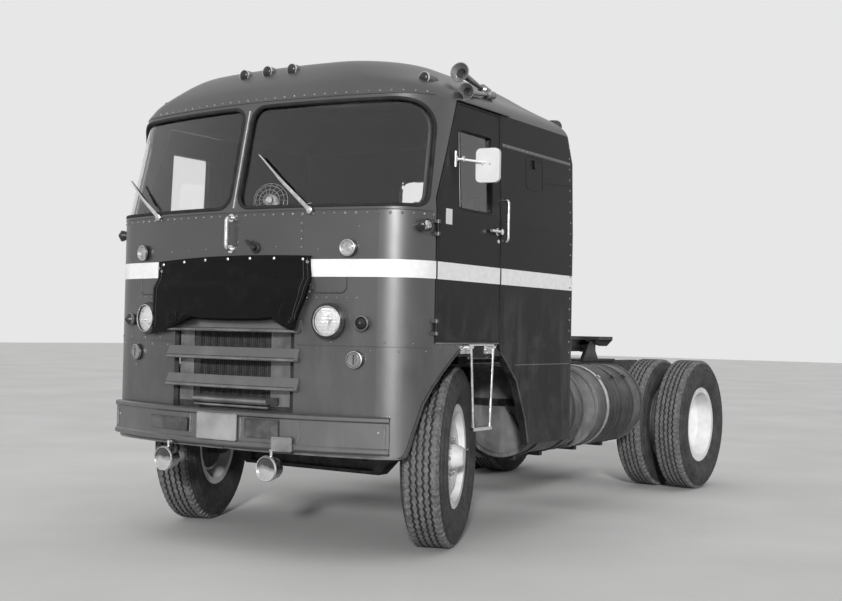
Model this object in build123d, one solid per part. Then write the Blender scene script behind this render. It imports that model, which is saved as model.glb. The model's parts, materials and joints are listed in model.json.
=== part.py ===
from build123d import *
import math
import os

# Cab-over-engine road tractor with a sleeper cab, in millimetres.
# X points to the truck's left, Y to its rear and Z up. The floor is z = 0.
# Lengths along Y are written from a line in the door openings, and the whole
# truck is moved at the end so that the middle of its length is the origin.

# Chassis
WHEELBASE = 3861.0
FRONT_AXLE_Y = -152.0
REAR_AXLE_Y = FRONT_AXLE_Y + WHEELBASE
FRAME_TOP = 1080.0
RAIL_HEIGHT = 254.0
RAIL_FLANGE = 76.0
RAIL_THICK = 10.0
RAIL_OUTER_X = 430.0
FRAME_FRONT = -850.0
FRAME_REAR = 4420.0

# Wheels and tyres
TYRE_R = 550.0
TYRE_WIDTH = 275.0
TREAD_WIDTH = 214.0
RIM_R = 286.0
RIM_WIDTH = 200.0
RIM_LIP_R = 317.0
RIM_WALL = 10.0
FRONT_TRACK_HALF = 940.0
REAR_TRACK_HALF = 928.0
DUAL_SPACING = 343.0
DRUM_R = 225.0
AXLE_Z = TYRE_R

# Steering
KINGPIN_X = 820.0
KINGPIN_R = 22.0
PIN_CLEARANCE = 0.05
BOSS_R = 44.0
BOSS_HEIGHT = 110.0
PARKED_STEER = 20.0

# Cab shell
CAB_WALL = 45.0
CAB_FRONT = -1000.0
CAB_HALF = 1195.0
CAB_REAR = 1190.0
BOW_R = 3700.0
CORNER_R = 300.0
REAR_CORNER_R = 60.0
SKIRT_Z = 590.0
BELT_Z = 1996.0
SHOULDER_Z = 2480.0
SHOULDER_REAR_R = 40.0
HEADER_Z = 2663.0
REAR_WALL_LOW = 1140.0
SKIRT_RETURN = 70.0

# Doors
DOOR_FRONT = -612.0
DOOR_REAR = 141.0
DOOR_LOW = 1245.0
DOOR_HIGH = 2655.0
DOOR_RAKE_START = 2067.0
DOOR_TOP_FRONT = -375.0
DOOR_GAP = 6.0
DOOR_WINDOW_LOW = 2035.0
DOOR_WINDOW_HIGH = 2492.0
DOOR_WINDOW_FRONT_LOW = -352.0
DOOR_WINDOW_FRONT_HIGH = -350.0
DOOR_WINDOW_REAR = 15.0
DOOR_WINDOW_CORNER = 16.0
HANDLE_Z = 1926.0
GLASS_THICK = 6.0
GLASS_INSET = 16.0

RAIN_RAIL_X = CAB_HALF - 13.0

# Windshield
POST_HALF = 32.0
PANE_LOW = 2012.0
PANE_HIGH = 2634.0
PANE_WRAP_LOW_Y = -680.0
PANE_WRAP_HIGH_Y = -548.0
PANE_CORNER = 85.0
PANE_WRAP_CORNER = 150.0

# Back window
REAR_WINDOW_HALF = 260.0
REAR_WINDOW_LOW = 2150.0
REAR_WINDOW_HIGH = 2420.0
REAR_WINDOW_CORNER = 50.0

# Floor and engine cover
FLOOR_TOP = 1239.0
FLOOR_THICK = 30.0
HOOD_HALF = 340.0
HOOD_FRONT = -760.0
HOOD_REAR = 420.0
HOOD_TOP = 1600.0
HOOD_WALL = 25.0
RADIATOR_BOX_HALF = 535.0
RADIATOR_BOX_TOP = 1800.0
RADIATOR_HALF = 360.0

# Grille and bumper
GRILLE_HALF = 470.0
GRILLE_LOW = 800.0
GRILLE_HIGH = 1650.0
BAR_HALF = 510.0
BAR_HEIGHT = 74.0
BAR_DEPTH = 35.7
BUMPER_FRONT = -1078.0
BUMPER_BOW_R = 3000.0
BUMPER_LOW = 616.0
BUMPER_HIGH = 825.0
BUMPER_HALF = CAB_HALF - 120.0
BUMPER_DEPTH = 34.0
BUMPER_WALL = 8.0
IRON_THICK = 20.0
IRON_LOW = 700.0
IRON_HIGH = 784.0
IRON_SLOT_GAP = 5.0
IRON_REACH = 120.0
FOG_FRONT = -1130.0
FOG_X = 402.0

# Tanks
TANK_R = 300.0
TANK_X = CAB_HALF - 395.0
TANK_Z = 765.0

# Fifth wheel
KINGPIN_Y = REAR_AXLE_Y - 460.0
FIFTH_TOP = 1290.0
FIFTH_R = 460.0
FIFTH_THICK = 28.0
RAMP_DROP = 58.0
JAW_R = 25.6
TRUNNION_Z = 1205.0
TRUNNION_R = 30.0

FRONT_MOST = FOG_FRONT
REAR_MOST = FRAME_REAR
MID_Y = (FRONT_MOST + REAR_MOST) / 2

os.makedirs("parts", exist_ok=True)


def flat(points, radius=0.0):
    """A face in the XY plane from corner points, with all corners rounded."""
    face = make_face(Polyline(*points, close=True))
    if radius > 0:
        face = fillet(face.vertices(), radius)
    return face


def side_prism(points, x_low, x_high, radius=0.0):
    """An outline in (y, z) that runs from x_low to x_high."""
    face = flat(points, radius)
    return Pos(x_low, 0, 0) * extrude(Plane.YZ * face, x_high - x_low)


def front_prism(points, y_low, y_high, radius=0.0):
    """An outline in (x, z) that runs from y_low to y_high."""
    face = flat(points, radius)
    return Pos(0, y_high, 0) * extrude(Plane.XZ * face, y_high - y_low)


def block(x0, x1, y0, y1, z0, z1):
    """A box from its low and high corners."""
    box = Box(x1 - x0, y1 - y0, z1 - z0)
    return Pos((x0 + x1) / 2, (y0 + y1) / 2, (z0 + z1) / 2) * box


def rod(radius, start, end):
    """A round bar from start to end."""
    a = Vector(*start)
    b = Vector(*end)
    direction = b - a
    plane = Plane(origin=a, z_dir=direction)
    return extrude(plane * Circle(radius), direction.length)


def tube_run(radius, points, bend):
    """A round tube along points, with each corner bent to one radius."""
    path = FilletPolyline(*points, radius=bend)
    start = path @ 0
    heading = path % 0
    section = Plane(origin=start, z_dir=heading) * Circle(radius)
    return sweep(section, path)


def turned(*outlines):
    """A solid of revolution about the X axis from outlines of (x, r) points."""
    section = flat(outlines[0])
    for outline in outlines[1:]:
        section = section + flat(outline)
    return revolve(section, axis=Axis.X)


def about_post(points, bow_centre_y, half_angle):
    """A (y, z) section swept sideways about an upright axis, both ways alike."""
    axis = Axis((0, bow_centre_y, 0), (0, 0, 1))
    ring = revolve(Plane.YZ * flat(points), axis=axis, revolution_arc=2 * half_angle)
    return ring.rotate(axis, -half_angle)


def both_sides(solid):
    """A solid and its mirror image across the truck's middle."""
    return [solid, mirror(solid, about=Plane.YZ)]


def keep(name, solids):
    """Move a node's solids to the truck's frame and write them."""
    if not isinstance(solids, (list, tuple)):
        solids = [solids]
    placed = []
    for solid in solids:
        for one in solid.solids():
            placed.append(Pos(0, -MID_Y, 0) * one)
    shape = placed[0] if len(placed) == 1 else Compound(children=placed)
    export_step(shape, "parts/" + name + ".step")


# How far the roof's sections stand in from the cab's outline below:
# up from the header, front, side, rear, front corner radius, rear corner radius
ROOF_ROWS = [
    (0.0, 144.0, 27.0, 18.0, 330.0, 100.0),
    (52.0, 166.0, 48.0, 40.0, 350.0, 128.0),
    (102.0, 192.0, 105.0, 95.0, 380.0, 210.0),
    (199.0, 284.0, 247.0, 250.0, 420.0, 330.0),
    (262.0, 440.0, 455.0, 490.0, 420.0, 400.0),
    (289.0, 670.0, 725.0, 790.0, 360.0, 360.0),
]

# height, front, half width, rear, front corner radius, rear corner radius
CAB_SECTIONS = [
    (HEADER_Z + up, CAB_FRONT + back, CAB_HALF - side, CAB_REAR - rear, corner, rear_corner)
    for up, back, side, rear, corner, rear_corner in ROOF_ROWS
]


def plan_face(z, front, half, rear, corner, rear_corner, inset):
    """The cab's plan at height z: bowed front, round corners, straight sides."""
    front = front + inset
    half = half - inset
    rear = rear - inset
    corner = corner - inset
    rear_corner = max(rear_corner - inset, 25.0)
    bow = BOW_R - inset
    centre_y = front + bow
    corner_x = half - corner
    reach = bow - corner
    corner_y = centre_y - math.sqrt(reach * reach - corner_x * corner_x)
    ux = corner_x / reach
    uy = (corner_y - centre_y) / reach
    touch_x = ux * bow
    touch_y = centre_y + uy * bow
    turn = math.atan2(uy, ux) / 2
    mid_x = corner_x + corner * math.cos(turn)
    mid_y = corner_y + corner * math.sin(turn)
    rx = half - rear_corner
    ry = rear - rear_corner
    diag = rear_corner * math.sqrt(0.5)
    edges = [
        ThreePointArc((-touch_x, touch_y), (0, front), (touch_x, touch_y)),
        ThreePointArc((touch_x, touch_y), (mid_x, mid_y), (half, corner_y)),
        Line((half, corner_y), (half, ry)),
        ThreePointArc((half, ry), (rx + diag, ry + diag), (rx, rear)),
        Line((rx, rear), (-rx, rear)),
        ThreePointArc((-rx, rear), (-rx - diag, ry + diag), (-half, ry)),
        Line((-half, ry), (-half, corner_y)),
        ThreePointArc((-half, corner_y), (-mid_x, mid_y), (-touch_x, touch_y)),
    ]
    return Pos(0, 0, z) * make_face(Wire(edges))


def base_face(z, inset):
    """The cab's plan below the belt."""
    return plan_face(z, CAB_FRONT, CAB_HALF, CAB_REAR, CORNER_R, REAR_CORNER_R, inset)


def shoulder_face(inset):
    """The cab's plan at the shoulder, where its back starts to round over."""
    head = CAB_SECTIONS[0]
    share = (SHOULDER_Z - BELT_Z) / (HEADER_Z - BELT_Z)
    front = CAB_FRONT + share * (head[1] - CAB_FRONT)
    half = CAB_HALF + share * (head[2] - CAB_HALF)
    corner = CORNER_R + share * (head[4] - CORNER_R)
    return plan_face(SHOULDER_Z, front, half, CAB_REAR, corner, SHOULDER_REAR_R, inset)


def cab_solid(inset):
    """The whole cab's outside, or its inside at the wall's depth."""
    low = SKIRT_Z if inset == 0 else SKIRT_Z - CAB_WALL
    body = extrude(base_face(low, inset), BELT_Z - low)
    head = CAB_SECTIONS[0]
    rows = [base_face(BELT_Z, inset), shoulder_face(inset), plan_face(*head, inset)]
    waist = loft(rows, ruled=True)
    dome_sections = []
    for index, row in enumerate(CAB_SECTIONS):
        z, front, half, rear, corner, rear_corner = row
        drop = inset * index / (len(CAB_SECTIONS) - 1)
        dome_sections.append(
            plan_face(z - drop, front, half, rear, corner, rear_corner, inset)
        )
    dome = loft(dome_sections)
    return body, waist, dome


def shell_between(outer_inset, inner_inset):
    """Body, waist and dome skins between two depths."""
    outer = cab_solid(outer_inset)
    inner = cab_solid(inner_inset)
    return [a - b for a, b in zip(outer, inner)]


OUTER = cab_solid(0.0)
BODY, WAIST, DOME = shell_between(0.0, CAB_WALL)
WALLS = BODY + WAIST


def door_outline(grow):
    """The door's outline, larger by grow all round."""
    lean = (DOOR_TOP_FRONT - DOOR_FRONT) / (DOOR_HIGH - DOOR_RAKE_START)
    return [
        (DOOR_FRONT - grow, DOOR_LOW - grow),
        (DOOR_REAR + grow, DOOR_LOW - grow),
        (DOOR_REAR + grow, DOOR_HIGH + grow),
        (DOOR_TOP_FRONT - grow + lean * grow, DOOR_HIGH + grow),
        (DOOR_FRONT - grow, DOOR_RAKE_START),
    ]


SIDE_X = CAB_HALF - 400.0
WIDE = CAB_HALF + 200.0

# wheel arch outline, (y, z), front foot to rear foot
ARCH = [
    (-800.0, SKIRT_Z - 60),
    (-800.0, SKIRT_Z),
    (-774.0, 600.0),
    (-758.0, 640.0),
    (-733.0, 740.0),
    (-680.0, 900.0),
    (-610.0, 995.0),
    (-514.0, 1072.0),
    (-407.0, 1147.0),
    (-270.0, DOOR_LOW - DOOR_GAP),
    (70.0, DOOR_LOW - DOOR_GAP),
    (210.0, 1130.0),
    (355.0, 1000.0),
    (480.0, 755.0),
    (525.0, SKIRT_Z),
    (525.0, SKIRT_Z - 60),
]
ARCH_ROUND = 28.0


def arch_cutter():
    """The wheel arch through both walls."""
    face = flat(ARCH)
    rounded = [v for v in face.vertices() if SKIRT_Z + 5 < v.Y < DOOR_LOW - DOOR_GAP - 5]
    face = fillet(rounded, ARCH_ROUND)
    left = Pos(SIDE_X, 0, 0) * extrude(Plane.YZ * face, WIDE - SIDE_X)
    return left + mirror(left, about=Plane.YZ)


ARCHES = arch_cutter()
PILLAR = DOOR_REAR + DOOR_GAP


HINGES_Z = [1330.0, 1895.0]
HINGE_R = 12.0
HINGE_PIN_R = 6.0
HINGE_OUT = 10.5
HINGE_LENGTH = 90.0


def hinge_axis():
    """Where the left door's hinge line stands in plan."""
    return CAB_HALF + HINGE_OUT, DOOR_FRONT - DOOR_GAP / 2


def hinge_pins():
    """The pins and their end knuckles on the left front corner post."""
    x, y = hinge_axis()
    out = None
    for z in HINGES_Z:
        pin = rod(HINGE_PIN_R, (x, y, z - HINGE_LENGTH / 2), (x, y, z + HINGE_LENGTH / 2))
        for low in (z - HINGE_LENGTH / 2, z + HINGE_LENGTH / 2 - 20):
            pin = pin + rod(HINGE_R, (x, y, low), (x, y, low + 20))
            pin = pin + block(CAB_HALF - 30, x, y - 34, y - 4, low, low + 20)
        out = pin if out is None else out + pin
    return out


def hinge_barrels():
    """The door's barrels between the knuckles, before their bores."""
    x, y = hinge_axis()
    half = HINGE_LENGTH / 2 - 21
    out = None
    for z in HINGES_Z:
        barrel = rod(HINGE_R, (x, y, z - half), (x, y, z + half))
        barrel = barrel + block(CAB_HALF - 20, x, y + 4, y + 34, z - half, z + half)
        barrel = barrel - rod(HINGE_PIN_R + PIN_CLEARANCE, (x, y, z - half - 5), (x, y, z + half + 5))
        out = barrel if out is None else out + barrel
    return out


def cab_front_panel():
    """The bowed nose below the windshield, with its round corners and grille opening."""
    front = block(-WIDE, WIDE, CAB_FRONT - 100, DOOR_FRONT - DOOR_GAP, SKIRT_Z, BELT_Z)
    panel = BODY & front
    fender = block(-WIDE, WIDE, CAB_FRONT - 100, -200, SKIRT_Z, DOOR_LOW - DOOR_GAP)
    panel = panel + (BODY & fender)
    panel = panel - ARCHES
    opening = block(
        -GRILLE_HALF, GRILLE_HALF, CAB_FRONT - 100, CAB_FRONT + 300, GRILLE_LOW, GRILLE_HIGH
    )
    panel = panel - opening
    for slot in bumper_irons(IRON_SLOT_GAP):
        panel = panel - slot
    for pins in both_sides(hinge_pins()):
        panel = panel + pins
    return panel


def pane_cutter(side):
    """One windshield opening: round at the post, and round where it wraps the corner."""
    front = front_prism(
        [(POST_HALF, PANE_LOW), (2 * WIDE, PANE_LOW), (2 * WIDE, PANE_HIGH), (POST_HALF, PANE_HIGH)],
        CAB_FRONT - 100, PANE_WRAP_HIGH_Y + 50, PANE_CORNER,
    )
    outline = flat([
        (CAB_FRONT - 400, PANE_LOW), (PANE_WRAP_LOW_Y, PANE_LOW),
        (PANE_WRAP_HIGH_Y, PANE_HIGH), (CAB_FRONT - 400, PANE_HIGH),
    ])
    rear_corners = outline.vertices().sort_by(Axis.X)[-2:].sort_by(Axis.Y)
    outline = fillet(rear_corners[0], PANE_CORNER)
    rear_top = outline.vertices().group_by(Axis.Y)[-1].sort_by(Axis.X)[-1]
    outline = fillet(rear_top, PANE_WRAP_CORNER)
    wrap = extrude(Plane.YZ * outline, WIDE)
    cutter = front & wrap
    return cutter if side > 0 else mirror(cutter, about=Plane.YZ)


PANES = [pane_cutter(1), pane_cutter(-1)]


def windshield_frame():
    """Header, sill, middle post and corner posts, raked back with the glass."""
    rake_top = DOOR_TOP_FRONT - DOOR_GAP
    region = side_prism(
        [(CAB_FRONT - 100, BELT_Z), (DOOR_FRONT - DOOR_GAP, BELT_Z), (rake_top, HEADER_Z),
         (CAB_FRONT - 100, HEADER_Z)],
        -WIDE, WIDE,
    )
    frame = WAIST & region
    door = side_prism(door_outline(DOOR_GAP), -WIDE, WIDE)
    frame = frame - door
    return frame - PANES[0] - PANES[1]


def windshield_glass():
    """Two curved panes that wrap round the cab's corners."""
    skin = cab_solid(GLASS_INSET)[1] - cab_solid(GLASS_INSET + GLASS_THICK)[1]
    return [skin & cutter for cutter in PANES]


def cab_side(side):
    """The sleeper's side wall from the door to the rear corner, with the skirt."""
    upper = block(0, WIDE, PILLAR, CAB_REAR - REAR_CORNER_R, SKIRT_Z, HEADER_Z)
    skirt = block(CAB_HALF - SKIRT_RETURN, WIDE, 60, CAB_REAR + 10, SKIRT_Z, REAR_WALL_LOW)
    wall = (WALLS & upper) + (BODY & skirt)
    wall = wall - ARCHES
    return wall if side > 0 else mirror(wall, about=Plane.YZ)


def rear_wall():
    """The back of the cab with its round corners, above the frame."""
    region = block(-WIDE, WIDE, CAB_REAR - REAR_CORNER_R, CAB_REAR + 50, REAR_WALL_LOW, HEADER_Z)
    wall = WALLS & region
    x = REAR_WINDOW_HALF
    window = front_prism(
        [(-x, REAR_WINDOW_LOW), (x, REAR_WINDOW_LOW), (x, REAR_WINDOW_HIGH), (-x, REAR_WINDOW_HIGH)],
        CAB_REAR - 120, CAB_REAR + 60, REAR_WINDOW_CORNER,
    )
    return wall - window


def door_window(grow):
    """The side window's outline through the left door."""
    points = [
        (DOOR_WINDOW_FRONT_LOW - grow, DOOR_WINDOW_LOW - grow),
        (DOOR_WINDOW_REAR + grow, DOOR_WINDOW_LOW - grow),
        (DOOR_WINDOW_REAR + grow, DOOR_WINDOW_HIGH + grow),
        (DOOR_WINDOW_FRONT_HIGH - grow, DOOR_WINDOW_HIGH + grow),
    ]
    return side_prism(points, SIDE_X, WIDE, DOOR_WINDOW_CORNER)


def door(side):
    """A door as thick as the wall, with its window, hinge straps and handle."""
    prism = side_prism(door_outline(0.0), SIDE_X, WIDE)
    leaf = (WALLS & prism) - door_window(0.0)
    y = DOOR_REAR - 111
    grip_x = CAB_HALF + 24
    boss = rod(17, (CAB_HALF - 2, y + 60, HANDLE_Z), (grip_x, y + 60, HANDLE_Z))
    grip = rod(9, (grip_x, y + 66, HANDLE_Z), (grip_x, y - 60, HANDLE_Z))
    leaf = leaf + boss + grip + hinge_barrels()
    return leaf if side > 0 else mirror(leaf, about=Plane.YZ)


def door_glass(side):
    """The side window's pane."""
    outer = cab_solid(GLASS_INSET)
    inner = cab_solid(GLASS_INSET + GLASS_THICK)
    skin = outer[1] - inner[1]
    pane = skin & door_window(0.0)
    return pane if side > 0 else mirror(pane, about=Plane.YZ)


def roof():
    """The domed roof shell with the rain rails over the doors."""
    rail = block(RAIN_RAIL_X - 60, RAIN_RAIL_X, DOOR_TOP_FRONT, DOOR_REAR + 100,
                 HEADER_Z + 1, HEADER_Z + 11)
    rail = rail - OUTER[2]
    return DOME + both_sides(rail)


def cab_floor():
    """The flat floor, the engine cover and the box that closes off the radiator."""
    inside = extrude(base_face(FLOOR_TOP - FLOOR_THICK, CAB_WALL), RADIATOR_BOX_TOP - FLOOR_TOP + FLOOR_THICK)
    low = FLOOR_TOP - FLOOR_THICK
    plate = inside & block(-WIDE, WIDE, CAB_FRONT, CAB_REAR, low, FLOOR_TOP)
    outer = block(-HOOD_HALF, HOOD_HALF, HOOD_FRONT - 20, HOOD_REAR, low, HOOD_TOP)
    outer = fillet(outer.edges().filter_by(Axis.Z) + outer.faces().sort_by(Axis.Z)[-1].edges(), 60)
    inner = block(
        -HOOD_HALF + HOOD_WALL, HOOD_HALF - HOOD_WALL, HOOD_FRONT + HOOD_WALL, HOOD_REAR - HOOD_WALL,
        low - 10, HOOD_TOP - HOOD_WALL,
    )
    case = block(-RADIATOR_BOX_HALF, RADIATOR_BOX_HALF, CAB_FRONT, HOOD_FRONT, low, RADIATOR_BOX_TOP)
    hollow = block(
        -RADIATOR_BOX_HALF + HOOD_WALL, RADIATOR_BOX_HALF - HOOD_WALL, CAB_FRONT - 10,
        HOOD_FRONT - HOOD_WALL, low - 10, RADIATOR_BOX_TOP - HOOD_WALL,
    )
    return plate + outer + (inside & case) - inner - hollow


# Chassis pieces

def frame_rail():
    """One channel rail with its tail cut down to a pick-up ramp."""
    low = FRAME_TOP - RAIL_HEIGHT
    outline = [
        (FRAME_FRONT, low),
        (FRAME_REAR - 160, low),
        (FRAME_REAR, FRAME_TOP - 130),
        (FRAME_REAR, FRAME_TOP - 90),
        (FRAME_REAR - 300, FRAME_TOP),
        (FRAME_FRONT, FRAME_TOP),
    ]
    web = side_prism(outline, RAIL_OUTER_X - RAIL_THICK, RAIL_OUTER_X)
    inner_x = RAIL_OUTER_X - RAIL_FLANGE
    top = block(inner_x, RAIL_OUTER_X, FRAME_FRONT, FRAME_REAR - 300, FRAME_TOP - RAIL_THICK, FRAME_TOP)
    low_start = FRAME_FRONT + IRON_REACH + 10
    low_flange = block(inner_x, RAIL_OUTER_X, low_start, FRAME_REAR - 160, low, low + RAIL_THICK)
    slope = side_prism(
        [(FRAME_REAR - 300, FRAME_TOP - RAIL_THICK), (FRAME_REAR, FRAME_TOP - 90 - RAIL_THICK),
         (FRAME_REAR, FRAME_TOP - 90), (FRAME_REAR - 300, FRAME_TOP)],
        inner_x, RAIL_OUTER_X,
    )
    return web + top + low_flange + slope


CROSS_MEMBERS_Y = [-700.0, 1010.0, 1750.0, 2700.0, REAR_AXLE_Y + 120.0, FRAME_REAR - 60.0]


CAB_MOUNTS_Y = [-600.0, 980.0]


def frame():
    """Two side rails tied by channel cross members."""
    rail = frame_rail()
    body = rail + mirror(rail, about=Plane.YZ)
    reach = RAIL_OUTER_X - RAIL_THICK
    for y in CAB_MOUNTS_Y:
        mount = block(RAIL_OUTER_X - RAIL_FLANGE, RAIL_OUTER_X, y - 60, y + 60,
                      FRAME_TOP, FLOOR_TOP - FLOOR_THICK)
        for post in both_sides(mount):
            body = body + post
    for y in CROSS_MEMBERS_Y:
        height = 60.0 if y > FRAME_REAR - 100 else 150.0
        z_mid = FRAME_TOP - RAIL_HEIGHT / 2 - 20
        web = block(-reach, reach, y - 4, y + 4, z_mid - height / 2, z_mid + height / 2)
        top = block(-reach, reach, y - 4, y + 46, z_mid + height / 2 - 8, z_mid + height / 2)
        low = block(-reach, reach, y - 4, y + 46, z_mid - height / 2, z_mid - height / 2 + 8)
        body = body + web + top + low
    return body


SPRING_WIDTH = 76.0
SPRING_X = 385.0
LEAF = 11.0
FRONT_LEAVES = 8
REAR_LEAVES = 9


def leaf_pack(y_mid, z_seat, half_length, leaves, rise, x_mid):
    """Stepped leaves under a main leaf that ends in rolled eyes."""
    x0 = x_mid - SPRING_WIDTH / 2
    x1 = x_mid + SPRING_WIDTH / 2
    pack = None
    top = z_seat + leaves * LEAF
    step = (half_length - 130.0) / leaves
    for index in range(leaves):
        reach = half_length - index * step
        z_high = top - index * LEAF
        lift = rise * (reach / half_length) ** 2
        outline = [
            (-reach, z_high - LEAF + lift), (0, z_high - LEAF), (reach, z_high - LEAF + lift),
            (reach, z_high + lift), (0, z_high), (-reach, z_high + lift),
        ]
        lower = ThreePointArc(outline[0], outline[1], outline[2])
        upper = ThreePointArc(outline[3], outline[4], outline[5])
        ends = [Line(outline[2], outline[3]), Line(outline[5], outline[0])]
        face = make_face(Wire([lower, ends[0], upper, ends[1]]))
        leaf = Pos(x0, y_mid, 0) * extrude(Plane.YZ * face, x1 - x0)
        pack = leaf if pack is None else pack + leaf
    eye_z = top + rise - LEAF / 2
    for end in (-1, 1):
        y_eye = y_mid + end * half_length
        pack = pack + rod(26, (x0, y_eye, eye_z), (x1, y_eye, eye_z))
    clamp = block(x0 - 14, x1 + 14, y_mid - 75, y_mid + 75, top, top + 26)
    return pack + clamp, eye_z


def hanger(y_eye, z_eye, x_mid):
    """A bracket that drops from the rail to a spring's eye."""
    low_z = FRAME_TOP - RAIL_HEIGHT
    outline = [(y_eye - 34, z_eye - 34), (y_eye + 34, z_eye - 34), (y_eye + 70, low_z), (y_eye - 70, low_z)]
    cheeks = None
    for x in (x_mid - SPRING_WIDTH / 2 - 12, x_mid + SPRING_WIDTH / 2 + 0.3):
        cheek = side_prism(outline, x, x + 11.7)
        cheeks = cheek if cheeks is None else cheeks + cheek
    cap = block(x_mid - SPRING_WIDTH / 2 - 12, x_mid + SPRING_WIDTH / 2 + 12, y_eye - 70, y_eye + 70,
                low_z - 10, low_z)
    return cheeks + cap


def springs(y_mid, z_seat, half_length, leaves, rise):
    """The two packs of one axle with their hangers."""
    pack, eye_z = leaf_pack(y_mid, z_seat, half_length, leaves, rise, SPRING_X)
    left = pack
    for end in (-1, 1):
        left = left + hanger(y_mid + end * half_length, eye_z, SPRING_X)
    return both_sides(left)


def front_axle():
    """A dropped I-section beam with kingpin bosses and its two pins."""
    drop = 95.0
    z = AXLE_Z
    top_line = [(-KINGPIN_X, z + 45), (-620, z + 45), (-520, z - drop + 60), (520, z - drop + 60),
                (620, z + 45), (KINGPIN_X, z + 45)]
    low_line = [(KINGPIN_X, z - 45), (640, z - 45), (540, z - drop - 50), (-540, z - drop - 50),
                (-640, z - 45), (-KINGPIN_X, z - 45)]
    beam = front_prism(top_line + low_line, -50, 50)
    pocket_low = z - drop - 50 + 22
    pocket_high = z - drop + 60 - 22
    for y0, y1 in ((-60, -12), (12, 60)):
        beam = beam - block(-500, 500, y0, y1, pocket_low, pocket_high)
    for side in (-1, 1):
        x = side * KINGPIN_X
        beam = beam + rod(BOSS_R, (x, 0, z - BOSS_HEIGHT / 2), (x, 0, z + BOSS_HEIGHT / 2))
        beam = beam + rod(KINGPIN_R, (x, 0, z - 108), (x, 0, z + 108))
        seat = block(side * SPRING_X - 52, side * SPRING_X + 52, -75, 75, z - drop + 30, z - drop + 70)
        beam = beam + seat
    return Pos(0, FRONT_AXLE_Y, 0) * beam


HUB_OUT = 150.0
SPINDLE_R = 34.0
SPINDLE_GAP = 0.06


def knuckle():
    """The left knuckle, straight ahead, about its kingpin at the origin."""
    offset = FRONT_TRACK_HALF - KINGPIN_X
    gap = 2.0
    ear = 46.0
    half = BOSS_HEIGHT / 2 + gap
    body = None
    for low in (half, -half - ear):
        lug = rod(BOSS_R, (0, 0, low), (0, 0, low + ear))
        arm = block(0, 62, -36, 36, low, low + ear)
        piece = lug + arm
        body = piece if body is None else body + piece
    plate = block(BOSS_R + 8, BOSS_R + 30, -60, 60, -half - ear, half + ear)
    backing = rod(DRUM_R - 20, (BOSS_R + 22, 0, 0), (BOSS_R + 30, 0, 0))
    spindle = rod(SPINDLE_R, (BOSS_R + 20, 0, 0), (offset + HUB_OUT - 40, 0, 0))
    arm_back = block(-12, 60, 30, 210, -half - ear, -half - ear + 24)
    body = body + plate + backing + spindle + arm_back
    bore = rod(KINGPIN_R + PIN_CLEARANCE, (0, 0, -200), (0, 0, 200))
    return body - bore


def steered(side, solid):
    """Place a left-hand kingpin-centred solid at a side and turn it as parked."""
    if side < 0:
        solid = mirror(solid, about=Plane.YZ)
    turned_solid = Rot(0, 0, PARKED_STEER) * solid
    return Pos(side * KINGPIN_X, FRONT_AXLE_Y, AXLE_Z) * turned_solid


def rim_points(centre):
    """A rim's outline in (x, r) about its middle plane, outside then bore side."""
    half = RIM_WIDTH / 2
    return [
        (centre - half, RIM_R - RIM_WALL), (centre - half, RIM_LIP_R), (centre - half + 12, RIM_LIP_R),
        (centre - half + 16, RIM_R), (centre + half - 16, RIM_R), (centre + half - 12, RIM_LIP_R),
        (centre + half, RIM_LIP_R), (centre + half, RIM_R - RIM_WALL),
    ]


HAND_HOLES = 5
FRONT_HUB_R = 86.0


def front_wheel():
    """Disc wheel, hub and drum in one, about the kingpin at the origin."""
    centre = FRONT_TRACK_HALF - KINGPIN_X
    disc = [
        (centre + 42, RIM_R - 6), (centre + 56, 250), (centre + 76, 200), (centre + 70, 150),
        (centre + 60, 135), (centre + 60, 60), (centre + 48, 60), (centre + 48, 138),
        (centre + 58, 156), (centre + 63, 198), (centre + 44, 244), (centre + 30, RIM_R - 6),
    ]
    drum = [
        (BOSS_R + 34, DRUM_R - 14), (BOSS_R + 34, DRUM_R), (centre + 48, DRUM_R),
        (centre + 48, 60), (centre + 34, 60), (centre + 34, DRUM_R - 14),
    ]
    hub = [
        (centre - 20, SPINDLE_R + SPINDLE_GAP), (centre - 20, 62), (centre + 90, FRONT_HUB_R - 12),
        (centre + 132, 62), (centre + 150, 50), (centre + 156, 0), (centre + HUB_OUT - 34, 0),
        (centre + HUB_OUT - 34, SPINDLE_R + SPINDLE_GAP),
    ]
    wheel = turned(rim_points(centre), disc, drum, hub)
    for index in range(HAND_HOLES):
        angle = 360.0 / HAND_HOLES * index + 18
        hole = Rot(angle, 0, 0) * rod(19, (centre + 49, 0, 232), (centre + 120, 0, 232))
        wheel = wheel - hole
    return wheel


def tyre(centre):
    """One tyre: flat crown, round shoulders and bulged sides, seated on the rim."""
    half = TYRE_WIDTH / 2
    tread = TREAD_WIDTH / 2
    seat = RIM_WIDTH / 2 - 17
    low = RIM_R + 0.3
    edges = [
        Line((centre - seat, low), (centre - seat, RIM_LIP_R + 4)),
        ThreePointArc((centre - seat, RIM_LIP_R + 4), (centre - half, 430), (centre - tread, TYRE_R - 24)),
        Line((centre - tread, TYRE_R - 24), (centre - tread + 14, TYRE_R)),
        Line((centre - tread + 14, TYRE_R), (centre + tread - 14, TYRE_R)),
        Line((centre + tread - 14, TYRE_R), (centre + tread, TYRE_R - 24)),
        ThreePointArc((centre + tread, TYRE_R - 24), (centre + half, 430), (centre + seat, RIM_LIP_R + 4)),
        Line((centre + seat, RIM_LIP_R + 4), (centre + seat, low)),
        Line((centre + seat, low), (centre - seat, low)),
    ]
    return revolve(make_face(Wire(edges)), axis=Axis.X)


REAR_HUB_R = 112.0
AXLE_TUBE_R = 62.0


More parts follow.
